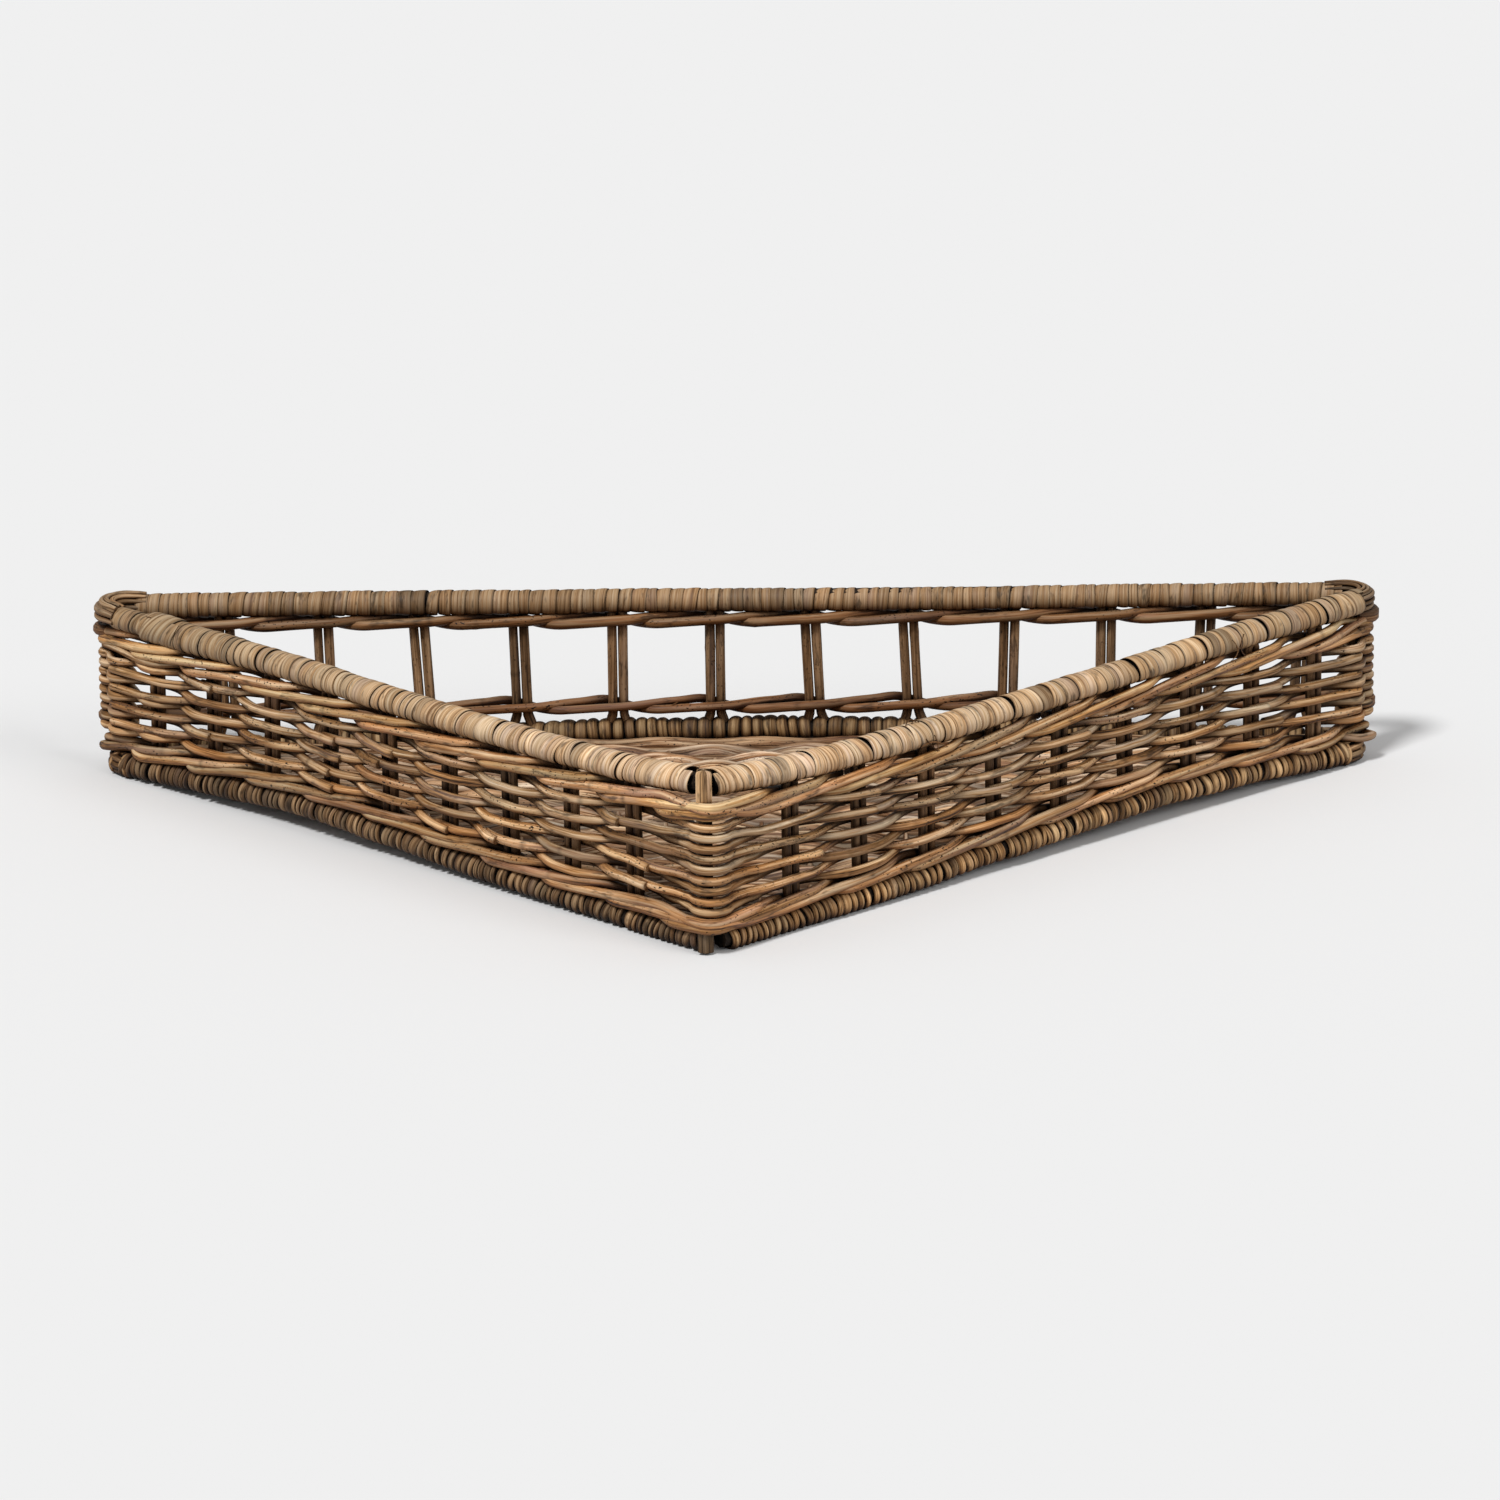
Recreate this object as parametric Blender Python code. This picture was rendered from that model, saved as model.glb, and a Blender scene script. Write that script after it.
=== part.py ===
"""Triangular corner basket: two woven walls meet at a right angle, and the long side is open between stakes.

Metres, +Z up. X runs along the open long side, Y from the right-angled near corner to the open side.
The origin is on the ground, under the middle of the basket's outline.
"""

import math

import bmesh
import bpy
from mathutils import Matrix, Vector

MM = 0.001
UP = Vector((0, 0, 1))

# The triangle of the rails' centre lines, measured to its sharp corners
LEFT_SIDE = 511 * MM
RIGHT_SIDE = 529 * MM
RIM_BEND = 12 * MM           # bend of the rim pole round each far corner
BASE_BEND = 16 * MM
RIM_SAG = 5 * MM             # a woven wall's rim hangs by this where it is lowest
SAG_PLACE_SHARE = 0.28       # how far along the wall from the near corner that is
SIDE_ARCH = 8 * MM           # a woven wall's base rail rises by this where it is highest
ARCH_PLACE_SHARE = 0.62
OPEN_ARCH = 10 * MM          # the open side's base rail rises by this at its middle

# Rails: a pole with cane strip wound round it
POLE_RADIUS = 5 * MM
SIDE_WRAP = 1.8 * MM         # thickness of the winding on the rim of a woven wall
OPEN_WRAP = 0.9 * MM         # and on the rim of the open side
BASE_WRAP = 1.7 * MM
WRAP_SIDES = 8               # flats in one turn of a winding
SIDE_RIM_TURNS = 18
OPEN_RIM_TURNS = 18
SIDE_BASE_TURNS = 14
OPEN_BASE_TURNS = 15
WRAP_GAP = 0.5 * MM          # between neighbouring turns
GROOVE = 2.5 * MM            # width of the slope at each edge of a base turn
GROUND_CUT = 0.5 * MM        # the lowest turns are flattened by this where the basket stands
LEAST_STRIP = 1.2 * MM       # a winding's tapered end stops at this width

# Rods
GAP = 0.3 * MM               # clearance between pieces that touch
STAKE_RADIUS = 2.5 * MM
WEAVER_RADIUS = 2.15 * MM
WALE_SHARE = 1.07            # thickness of a wale's rod against a weaver's
WALE_RADIUS = WALE_SHARE * WEAVER_RADIUS
POST_RADIUS = 4.5 * MM
STAKE_SPREAD = STAKE_RADIUS + GAP        # from the middle of a pair to the centre of each of its rods
WALE_TWIST = WALE_RADIUS + GAP / 2       # a wale's two rods pass this far above and below its middle

# The places of the stake pairs, from a sharp corner to the first and from the last to the next corner
SIDE_PAIRS = 9
SIDE_FIRST = 58 * MM
SIDE_LAST = 66 * MM
OPEN_PAIRS = 12
OPEN_FIRST = 82 * MM
OPEN_LAST = 52 * MM

# The weave
ROWS = 9                     # rows of rods between the upper and the lower wale of a woven wall
ROW_AIR = 1.65 * MM          # daylight between two rows at a corner, where the wall is tallest
PASS_LENGTH = STAKE_SPREAD + STAKE_RADIUS + 4 * GAP   # half of a rod's straight run past a pair
NEAR_RUN = POST_RADIUS + 2 * GAP                      # and its run past the near post
OPEN_WALE_GAP = 2.8 * MM     # daylight between the open side's wales and its rails
SPLAY_SHARE = 0.5            # how far a foot spreads for its height
NEAR_POST_FOOT = 1 * MM      # the near post ends this far above the ground

# The floor
FLOOR_TOP = 5.5 * MM         # its crests, above the base rail's centre
FLOOR_THICKNESS = 7.7 * MM   # from its crests to its flat underside
FLOOR_WAVE = 1.6 * MM        # a floor rod swings this far up and down as it passes over and under the sticks
STICK_PITCH = 26 * MM        # between the sticks, which run square to the open side
FLOOR_RODS = 52              # a multiple of the band below
FLOOR_BAND = 4               # the underside has one row of faces under this many rods
FLOOR_TIP = 5 * MM           # the near tip of the floor is cut off by this

COLOURS = {
    "rim_cane": ((0.42, 0.29, 0.16), 0.55),
    "base_cane": ((0.22, 0.14, 0.075), 0.60),
    "pole": ((0.20, 0.12, 0.06), 0.60),
    "stake": ((0.17, 0.10, 0.05), 0.60),
    "weaver": ((0.30, 0.19, 0.10), 0.55),
    "wale": ((0.42, 0.24, 0.10), 0.50),
    "floor": ((0.33, 0.21, 0.12), 0.60),
}

FLAT_COSINE = math.cos(math.pi / WRAP_SIDES)
STRIP_INNER = (POLE_RADIUS + GAP) / FLAT_COSINE
SIDE_RIM_RADIUS = STRIP_INNER + SIDE_WRAP
OPEN_RIM_RADIUS = STRIP_INNER + OPEN_WRAP
BASE_RADIUS = STRIP_INNER + BASE_WRAP
BASE_FLAT = BASE_RADIUS * FLAT_COSINE
BASE_HEIGHT = BASE_FLAT - GROUND_CUT
POLE_END = POLE_RADIUS + 3 * GAP         # a pole ends this far from the near corner
WRAP_END = SIDE_RIM_RADIUS + 3 * GAP     # and its winding this far
WALE_HALF = WALE_TWIST + WALE_RADIUS
UPPER_DROP = SIDE_RIM_RADIUS * FLAT_COSINE + GAP + WALE_HALF   # from the rim down to its wale
LOWER_LIFT = BASE_FLAT + GAP + WALE_HALF                       # from the base rail up to its wale
FIRST_ROW = WALE_HALF + GAP + WEAVER_RADIUS                    # from a wale to the next row
WOVEN_RISE = (ROWS - 1) * (2 * WEAVER_RADIUS + ROW_AIR)
RAIL_RISE = LOWER_LIFT + 2 * FIRST_ROW + WOVEN_RISE + UPPER_DROP
RIM_HEIGHT = BASE_HEIGHT + RAIL_RISE
WALE_REACH = STAKE_RADIUS + GAP + WALE_RADIUS
WEAVER_REACH = STAKE_RADIUS + GAP + WEAVER_RADIUS


def material(name):
    """A matt natural material, with its colour as the piece shows it."""
    colour, roughness = COLOURS[name]
    made = bpy.data.materials.get(name) or bpy.data.materials.new(name)
    made.use_nodes = True
    shader = made.node_tree.nodes["Principled BSDF"]
    shader.inputs["Base Color"].default_value = (*colour, 1)
    shader.inputs["Roughness"].default_value = roughness
    shader.inputs["Metallic"].default_value = 0
    return made


def turned(vector, angle):
    """The vector turned about the vertical."""
    return Matrix.Rotation(angle, 3, "Z") @ vector


def bow(share, crest):
    """A smooth bow over a side, 0 at both ends and 1 at the crest. Both places are shares of its length."""
    inside = min(max(share, 0), 1)
    return math.sin(math.pi * inside ** (math.log(1 / 2) / math.log(crest))) ** 2


class Wall:
    """One side of the triangle. Places on it run along from its start, with positive offsets outside."""

    def __init__(self, start, end, outward_turn, sag, arch, arch_place):
        self.start = start
        self.end = end
        self.length = (end - start).length
        self.along = (end - start).normalized()
        self.out = turned(self.along, outward_turn)
        self.sag = sag
        self.arch = arch
        self.arch_place = arch_place
        self.pairs = []

    def spread_pairs(self, first, last, count):
        pitch = (self.length - first - last) / (count - 1)
        self.pairs = [first + pitch * index for index in range(count)]

    def rim(self, along):
        return RIM_HEIGHT - self.sag * bow(along / self.length, SAG_PLACE_SHARE)

    def base(self, along):
        return BASE_HEIGHT + self.arch * bow(along / self.length, self.arch_place)

    def at(self, along, offset, height):
        return self.start + self.along * along + self.out * offset + UP * height


class Corner:
    """A far corner: its sharp point, its bends and the post inside it."""

    def __init__(self, point, toward_a, toward_b):
        self.point = point
        self.toward_a = toward_a
        self.toward_b = toward_b
        self.half = toward_a.angle(toward_b) / 2
        self.bisector = (toward_a + toward_b).normalized()
        self.post = point + self.bisector * (self.to_centre(RIM_BEND) - RIM_BEND + POST_RADIUS)

    def to_centre(self, bend):
        """How far from the sharp point a bend of this radius has its centre."""
        return bend / math.sin(self.half)

    def tangent(self, bend):
        """How far from the sharp point a bend of this radius starts."""
        return bend / math.tan(self.half)

    def bend_points(self, bend, steps):
        """Points round the bend, from the side toward_a to the side toward_b."""
        centre = self.point + self.bisector * self.to_centre(bend)
        first = self.point + self.toward_a * self.tangent(bend) - centre
        last = self.point + self.toward_b * self.tangent(bend) - centre
        sweep = first.angle(last) * (1 if first.cross(last).z > 0 else -1)
        return [centre + turned(first, sweep * step / steps) for step in range(steps + 1)]


def triangle():
    """The three walls and the two far corners, placed so that the outline's middle is over the origin."""
    open_side = math.hypot(LEFT_SIDE, RIGHT_SIDE)
    near = Vector((LEFT_SIDE ** 2 / open_side, -LEFT_SIDE * RIGHT_SIDE / open_side, 0))
    left = Vector((0, 0, 0))
    right = Vector((open_side, 0, 0))
    posts = [
        Corner(left, (near - left).normalized(), (right - left).normalized()).post.x,
        Corner(right, (left - right).normalized(), (near - right).normalized()).post.x,
    ]
    front_reach = POST_RADIUS + GAP + 2 * WALE_RADIUS
    back_reach = WALE_REACH + WALE_RADIUS
    middle = Vector((sum(posts) / 2, (near.y - front_reach + back_reach) / 2, 0))
    near, left, right = near - middle, left - middle, right - middle
    quarter = math.pi / 2
    walls = {
        "left": Wall(near, left, quarter, RIM_SAG, SIDE_ARCH, ARCH_PLACE_SHARE),
        "right": Wall(near, right, -quarter, RIM_SAG, SIDE_ARCH, ARCH_PLACE_SHARE),
        "open": Wall(left, right, quarter, 0, OPEN_ARCH, 1 / 2),
    }
    for side in ("left", "right"):
        walls[side].spread_pairs(SIDE_FIRST, SIDE_LAST, SIDE_PAIRS)
    walls["open"].spread_pairs(OPEN_FIRST, OPEN_LAST, OPEN_PAIRS)
    corners = {
        "left": Corner(left, -walls["left"].along, walls["open"].along),
        "right": Corner(right, -walls["open"].along, -walls["right"].along),
    }
    return walls, corners


def finish_mesh(name, mesh, slot):
    """An object of this mesh, smooth but for its hard edges."""
    mesh.materials.append(material(slot))
    mesh.shade_smooth()
    mesh.set_sharp_from_angle(angle=math.radians(50))
    made = bpy.data.objects.new(name, mesh)
    bpy.context.scene.collection.objects.link(made)
    return made


def loft(name, rings, slot):
    """A solid skin over rings that each have the same number of points, closed at both ends."""
    shape = bmesh.new()
    layers = [[shape.verts.new(point) for point in ring] for ring in rings]
    count = len(rings[0])
    for lower, upper in zip(layers, layers[1:]):
        for index in range(count):
            following = (index + 1) % count
            shape.faces.new((lower[index], lower[following], upper[following], upper[index]))
    shape.faces.new(layers[0])
    shape.faces.new(layers[-1])
    bmesh.ops.recalc_face_normals(shape, faces=shape.faces)
    mesh = bpy.data.meshes.new(name)
    shape.to_mesh(mesh)
    shape.free()
    return finish_mesh(name, mesh, slot)


def rod(name, points, radius, slot, rounding=1):
    """A rod through these points: rounding 1 gives it six sides and 2 gives it eight."""
    curve = bpy.data.curves.new(name, "CURVE")
    curve.dimensions = "3D"
    curve.bevel_depth = radius
    curve.bevel_resolution = rounding
    curve.use_fill_caps = True
    spline = curve.splines.new("POLY")
    spline.points.add(len(points) - 1)
    for place, point in zip(spline.points, points):
        place.co = (*point, 1)
    spline.use_smooth = True
    curve.materials.append(material(slot))
    made = bpy.data.objects.new(name, curve)
    bpy.context.scene.collection.objects.link(made)
    return made


def pole_route(walls, corners, bend, level):
    """The route of a rail's pole, from one side of the near post round both far corners to the other."""
    leg_steps, open_steps, bend_steps = 8, 10, 5
    left, right, open_wall = walls["left"], walls["right"], walls["open"]
    left_stop = left.length - corners["left"].tangent(bend)
    right_stop = right.length - corners["right"].tangent(bend)
    open_start = corners["left"].tangent(bend)
    open_stop = open_wall.length - corners["right"].tangent(bend)

    def run(wall, start, stop, steps):
        places = [start + (stop - start) * step / steps for step in range(steps + 1)]
        return [wall.at(place, 0, level(wall, place)) for place in places]

    def bend_round(side):
        corner = corners[side]
        if side == "left":
            first, last = level(left, left_stop), level(open_wall, open_start)
        else:
            first, last = level(open_wall, open_stop), level(right, right_stop)
        flat = corner.bend_points(bend, bend_steps)
        heights = [first + (last - first) * step / bend_steps for step in range(bend_steps + 1)]
        return [point + UP * height for point, height in zip(flat, heights)][1:-1]

    route = run(left, POLE_END, left_stop, leg_steps)
    route += bend_round("left")
    route += run(open_wall, open_start, open_stop, open_steps)
    route += bend_round("right")
    route += run(right, right_stop, POLE_END, leg_steps)
    return route


def winding(name, wall, start, stop, level, radius, turns, shape, slot):
    """Cane wound round a pole as one unbroken strip. It prints the least gap between its own turns."""
    pitch = (stop - start) / turns
    half = (pitch - WRAP_GAP) / 2
    first = math.ceil((start - half + LEAST_STRIP) / pitch * WRAP_SIDES)
    last = math.floor((stop + half - LEAST_STRIP) / pitch * WRAP_SIDES)
    rings = []
    for step in range(first, last + 1):
        middle = pitch * step / WRAP_SIDES
        angle = 2 * math.pi * (step + 1 / 2) / WRAP_SIDES
        low = max(middle - half, start)
        high = min(middle + half, stop)
        outline = shape(low, high, radius)
        radial = wall.out * math.cos(angle) + UP * math.sin(angle)
        ring = [wall.at(along, 0, level(along)) + radial * reach for along, reach in outline]
        rings.append([Vector((point.x, point.y, max(point.z, 0))) for point in ring])
    pairs = zip(rings, rings[WRAP_SIDES:])
    least = min((after[0] - before[-1]).length for before, after in pairs)
    print(name, "least gap between turns, mm:", round(least / MM, 3))
    return loft(name, rings, slot)


def ridged_strip(low, high, radius):
    """The outline of a strip with one ridge, as (place along, distance from the pole's centre)."""
    return [(low, STRIP_INNER), ((low + high) / 2, radius), (high, STRIP_INNER)]


def flat_strip(low, high, radius):
    """The outline of a strip with a flat back and sloping edges."""
    slope = min(GROOVE, (high - low) / 3)
    return [(low, STRIP_INNER), (low + slope, radius), (high - slope, radius), (high, STRIP_INNER)]


def rails(walls, corners):
    """The rim and the base rail: a bent pole each, with a winding on every side."""
    rod("rim_pole", pole_route(walls, corners, RIM_BEND, Wall.rim), POLE_RADIUS, "pole", 2)
    rod("base_pole", pole_route(walls, corners, BASE_BEND, Wall.base), POLE_RADIUS, "pole", 2)
    for side in ("left", "right"):
        wall, corner = walls[side], corners[side]
        rim_stop = wall.length - corner.tangent(RIM_BEND)
        base_stop = wall.length - corner.tangent(BASE_BEND)
        winding("rim_wrap_" + side, wall, WRAP_END, rim_stop, wall.rim, SIDE_RIM_RADIUS,
                SIDE_RIM_TURNS, ridged_strip, "rim_cane")
        winding("base_wrap_" + side, wall, WRAP_END, base_stop, wall.base, BASE_RADIUS,
                SIDE_BASE_TURNS, flat_strip, "base_cane")
    wall = walls["open"]
    for name, bend, level, radius, turns, shape, slot in (
        ("rim_wrap_open", RIM_BEND, wall.rim, OPEN_RIM_RADIUS, OPEN_RIM_TURNS, ridged_strip, "rim_cane"),
        ("base_wrap_open", BASE_BEND, wall.base, BASE_RADIUS, OPEN_BASE_TURNS, flat_strip, "base_cane"),
    ):
        start = corners["left"].tangent(bend)
        stop = wall.length - corners["right"].tangent(bend)
        winding(name, wall, start, stop, level, radius, turns, shape, slot)


def hairpin(name, wall, along, rim_radius, knee):
    """A pair of stakes: one rod folded double, its bend under the rim and its feet on the base rail."""
    top = wall.rim(along) - rim_radius * FLAT_COSINE - GAP
    shoulder = top - STAKE_RADIUS - STAKE_SPREAD
    diagonal = STAKE_SPREAD * math.cos(math.pi / 4)

    def leg(sense):
        """One rod's points from its foot to the start of the bend's crown."""
        slant = STAKE_RADIUS * SPLAY_SHARE / math.hypot(1, SPLAY_SHARE) if knee else 0
        seat = BASE_FLAT + GAP + slant
        drop = max(knee - wall.base(along) - seat, 0) if knee else 0
        spread = STAKE_SPREAD + drop * SPLAY_SHARE
        points = [(sense * spread, wall.base(along + sense * spread) + seat)]
        if knee:
            points.append((sense * STAKE_SPREAD, knee))
        points += [(sense * STAKE_SPREAD, shoulder), (sense * diagonal, shoulder + diagonal)]
        return points

    outline = leg(-1) + [(0, shoulder + STAKE_SPREAD)] + leg(1)[::-1]
    points = [wall.at(along + across, 0, height) for across, height in outline]
    return rod(name, points, STAKE_RADIUS, "stake")


def stakes(walls, lower_wale):
    for side in ("left", "right"):
        for index, along in enumerate(walls[side].pairs):
            hairpin(f"stakes_{side}_{index + 1}", walls[side], along, SIDE_RIM_RADIUS, None)
    knee = lower_wale - WALE_HALF - GAP
    for index, along in enumerate(walls["open"].pairs):
        hairpin(f"stakes_open_{index + 1}", walls["open"], along, OPEN_RIM_RADIUS, knee)


def near_turn(wall, front, height, radius):
    """The last points of a rod that passes outside the near post, cut square at the post's front."""
    reach = POST_RADIUS + GAP + radius
    half = wall.out.angle(front) / 2
    sense = 1 if wall.out.cross(front).z > 0 else -1
    knee = wall.start + turned(wall.out, sense * half) * (reach / math.cos(half)) + UP * height
    face = wall.start + front * reach + UP * height
    cut = face - (face - knee).normalized() * (GAP / 2)
    return [cut, knee, wall.at(NEAR_RUN, reach, height)]


def far_turn(wall, corner, radius, first_height, last_height):
    """A rod's way round a far post, from the outside of the wall to its inside."""
    steps = 4
    reach = (POST_RADIUS + GAP + radius) / math.cos(math.pi / 2 / steps)
    points = []
    for step in range(steps + 1):
        angle = math.pi * step / steps
        height = first_height + (last_height - first_height) * step / steps
        points.append(corner.post + (wall.out * math.cos(angle) + wall.along * math.sin(angle)) * reach
                      + UP * height)
    return points


def side_of(wall, index, phase):
    """Which side of a pair a rod passes: 1 outside and -1 inside. Phase 0 ends outside the far post."""
    return 1 if (len(wall.pairs) - index + phase) % 2 == 0 else -1


def weave_row(wall, front, phase, height_at):
    """A rod from the near corner in and out of each pair of stakes."""
    points = near_turn(wall, front, height_at(0), WEAVER_RADIUS)
    for index, pair in enumerate(wall.pairs):
        offset = side_of(wall, index, phase) * WEAVER_REACH
        for place in (pair - PASS_LENGTH, pair + PASS_LENGTH):
            points.append(wall.at(place, offset, height_at(place)))
    return points


def wale_rod(wall, front, phase, height_at):
    """One of a wale's two rods: it climbs across a pair outside and sinks across the next one inside."""
    lift = -side_of(wall, 0, phase) * WALE_TWIST
    points = near_turn(wall, front, height_at(0) + lift, WALE_RADIUS)
    for index, pair in enumerate(wall.pairs):
        side = side_of(wall, index, phase)
        for place, rise in ((pair - PASS_LENGTH, -side), (pair + PASS_LENGTH, side)):
            points.append(wall.at(place, side * WALE_REACH, height_at(place) + rise * WALE_TWIST))
    return points


def woven_wall(side, wall, corner, front):
    """The rows of one closed wall, with a wale under its rim and another on its base rail."""
    def upper(along):
        return wall.rim(along) - UPPER_DROP

    def lower(along):
        return wall.base(along) + LOWER_LIFT

    def row_height(row):
        def height(along):
            top = upper(along) - FIRST_ROW
            bottom = lower(along) + FIRST_ROW
            return top + (bottom - top) * row / (ROWS - 1)
        return height

    for name, level in (("upper", upper), ("lower", lower)):
        outer = wale_rod(wall, front, 0, level)
        inner = wale_rod(wall, front, 1, level)
        end = level(wall.length)
        turn = far_turn(wall, corner, WALE_RADIUS, end - WALE_TWIST, end + WALE_TWIST)
        rod(f"wale_{side}_{name}", outer + turn + inner[::-1], WALE_RADIUS, "wale")
    for row in range(0, ROWS, 2):
        name = f"weaver_{side}_{row // 2 + 1}"
        above = row_height(row)
        outward = weave_row(wall, front, 0, above)
        end = above(wall.length)
        if row + 1 == ROWS:
            turn = far_turn(wall, corner, WEAVER_RADIUS, end, end)
            rod(name, outward + turn[:1], WEAVER_RADIUS, "weaver")
            continue
        below = row_height(row + 1)
        turn = far_turn(wall, corner, WEAVER_RADIUS, end, below(wall.length))
        back = weave_row(wall, front, 1, below)
        rod(name, outward + turn + back[::-1], WEAVER_RADIUS, "weaver")


def open_wale(name, wall, corners, leg_outs, height):
    """The two rods of a wale along the open side. Each ends outside one far corner and inside the other."""
    steps = 4
    turn_reach = POST_RADIUS + GAP + 2 * WALE_RADIUS
    loop_reach = turn_reach / math.cos(math.pi / 8) + GAP + WALE_RADIUS
    for phase, letter in ((0, "a"), (1, "b")):
        points = []
        for index, pair in enumerate(wall.pairs):
            side = -1 if (index + phase) % 2 == 0 else 1
            for place, rise in ((pair - PASS_LENGTH, -side), (pair + PASS_LENGTH, side)):
                points.append(wall.at(place, side * WALE_REACH, height + rise * WALE_TWIST))
        outer_corner = corners["left" if phase == 0 else "right"]
        leg_out = leg_outs["left" if phase == 0 else "right"]
        inner_corner = corners["right" if phase == 0 else "left"]
        outer_level = points[0 if phase == 0 else -1].z
        inner_level = points[-1 if phase == 0 else 0].z
        sweep = wall.out.angle(leg_out) * (1 if wall.out.cross(leg_out).z > 0 else -1)
        reach = loop_reach / math.cos(sweep / 2 / steps)
        loop = [
            outer_corner.post + turned(wall.out, sweep * step / steps) * reach + UP * outer_level
            for step in range(steps + 1)
        ]
        post_along = (inner_corner.post - wall.start).dot(wall.along)
        post_offset = (inner_corner.post - wall.start).dot(wall.out)
        clear = math.sqrt(loop_reach ** 2 - (post_offset + WALE_REACH) ** 2)
        if phase == 0:
            end = [wall.at(post_along - clear, -WALE_REACH, inner_level)]
            points = loop[::-1] + points + end
        else:
            end = [wall.at(post_along + clear, -WALE_REACH, inner_level)]
            points = end + points + loop
        rod(f"wale_open_{name}_{letter}", points, WALE_RADIUS, "wale")


def posts(walls, corners):
    near = walls["left"].start
    top = RIM_HEIGHT + SIDE_RIM_RADIUS * FLAT_COSINE
    rod("post_near", [near + UP * NEAR_POST_FOOT, near + UP * top], POST_RADIUS, "stake", 2)
    for side, corner in corners.items():
        wall = walls[side]
        below = wall.base(wall.length - corner.tangent(BASE_BEND))
        above = wall.rim(wall.length - corner.tangent(RIM_BEND))
        foot = corner.post + UP * (below + POLE_RADIUS + GAP)
        head = corner.post + UP * (above - POLE_RADIUS - GAP)
        rod("post_" + side, [foot, head], POST_RADIUS, "stake", 2)


def floor_mat(walls, corners, front):
    """The floor's rods run along the open side, each over one stick and under the next. Legs lift them."""
    left, right, open_wall = walls["left"], walls["right"], walls["open"]
    inset = BASE_FLAT + GAP
    near = left.start
    start = (near - front * (inset / math.cos(left.out.angle(front)))).y + FLOOR_TIP
    stop = open_wall.start.y - inset
    shape = bmesh.new()

    def leg_edge(wall, y):
        return near.x - (inset + (y - near.y) * wall.out.y) / wall.out.x

    def chamfer_edge(corner, y):
        inside_bend = BASE_BEND - POLE_RADIUS - GAP
        chamfer = corner.to_centre(BASE_BEND) - inside_bend / 2
        across = chamfer - (y - corner.point.y) * corner.bisector.y
        return corner.point.x + across / corner.bisector.x

    def vertex(x, y, above_rail):
        depth = (y - near.y) / (open_wall.start.y - near.y)
        return shape.verts.new((x, y, BASE_HEIGHT + above_rail + SIDE_ARCH * bow(depth, ARCH_PLACE_SHARE)))

    def rod_line(index):
        """A rod's ends, its crests and hollows by stick, and the two corners of the underside below it."""
        y = start + (stop - start) * index / FLOOR_RODS
        low = max(leg_edge(left, y), chamfer_edge(corners["left"], y))
        high = min(leg_edge(right, y), chamfer_edge(corners["right"], y))
        middle = FLOOR_TOP - FLOOR_WAVE
        under = FLOOR_TOP - FLOOR_THICKNESS
        first = math.ceil((low - near.x) / STICK_PITCH + 1 / 4)
        last = math.floor((high - near.x) / STICK_PITCH - 1 / 4)
        sticks = {}
        for stick in range(first, last + 1):
            swing = FLOOR_WAVE if (stick + index) % 2 == 0 else -FLOOR_WAVE
            sticks[stick] = vertex(near.x + stick * STICK_PITCH, y, middle + swing)
        ends = [vertex(x, y, middle) for x in (low, high)]
        corners_below = [vertex(x, y, under) for x in (low, high)]
        inner = []
        if index % FLOOR_BAND == 0:
            inner = [vertex(low + (high - low) * quarter / 4, y, under) for quarter in (1, 2, 3)]
        return ends, sticks, corners_below, inner

    lines = [rod_line(index) for index in range(FLOOR_RODS + 1)]
    for (ends, sticks, below, _), (next_ends, next_sticks, next_below, _) in zip(lines, lines[1:]):
        both = sorted(set(sticks) & set(next_sticks))
        first, last = (both[0], both[-1]) if both else (math.inf, -math.inf)
        outline = [ends[0]] + [sticks[stick] for stick in sorted(sticks) if stick <= first]
        back = [next_ends[0]] + [next_sticks[stick] for stick in sorted(next_sticks) if stick <= first]
        far = [sticks[stick] for stick in sorted(sticks) if stick >= last] + [ends[1]]
        far_back = [next_sticks[stick] for stick in sorted(next_sticks) if stick >= last] + [next_ends[1]]
        if both:
            shape.faces.new(outline + back[::-1])
            shape.faces.new(far + far_back[::-1])
        else:
            shape.faces.new(outline + [ends[1], next_ends[1]] + back[::-1])
        for one, other in zip(both, both[1:]):
            shape.faces.new((sticks[one], sticks[other], next_sticks[other], next_sticks[one]))
        for end, following, corner, next_corner in zip(ends, next_ends, below, next_below):
            shape.faces.new((end, following, next_corner, corner))
    for ends, sticks, below, inner in (lines[0], lines[-1]):
        top = [ends[0]] + [sticks[stick] for stick in sorted(sticks)] + [ends[1]]
        shape.faces.new(top + [below[1]] + inner[::-1] + [below[0]])
    for index in range(0, FLOOR_RODS, FLOOR_BAND):
        band = lines[index:index + FLOOR_BAND + 1]
        here, there = band[0][3], band[-1][3]
        shape.faces.new([here[0]] + [line[2][0] for line in band] + [there[0]])
        shape.faces.new([here[2]] + [line[2][1] for line in band] + [there[2]])
        for one in (0, 1):
            shape.faces.new((here[one], here[one + 1], there[one + 1], there[one]))
    bmesh.ops.recalc_face_normals(shape, faces=shape.faces)
    mesh = bpy.data.meshes.new("floor_mat")
    shape.to_mesh(mesh)
    shape.free()
    return finish_mesh("floor_mat", mesh, "floor")


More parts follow.
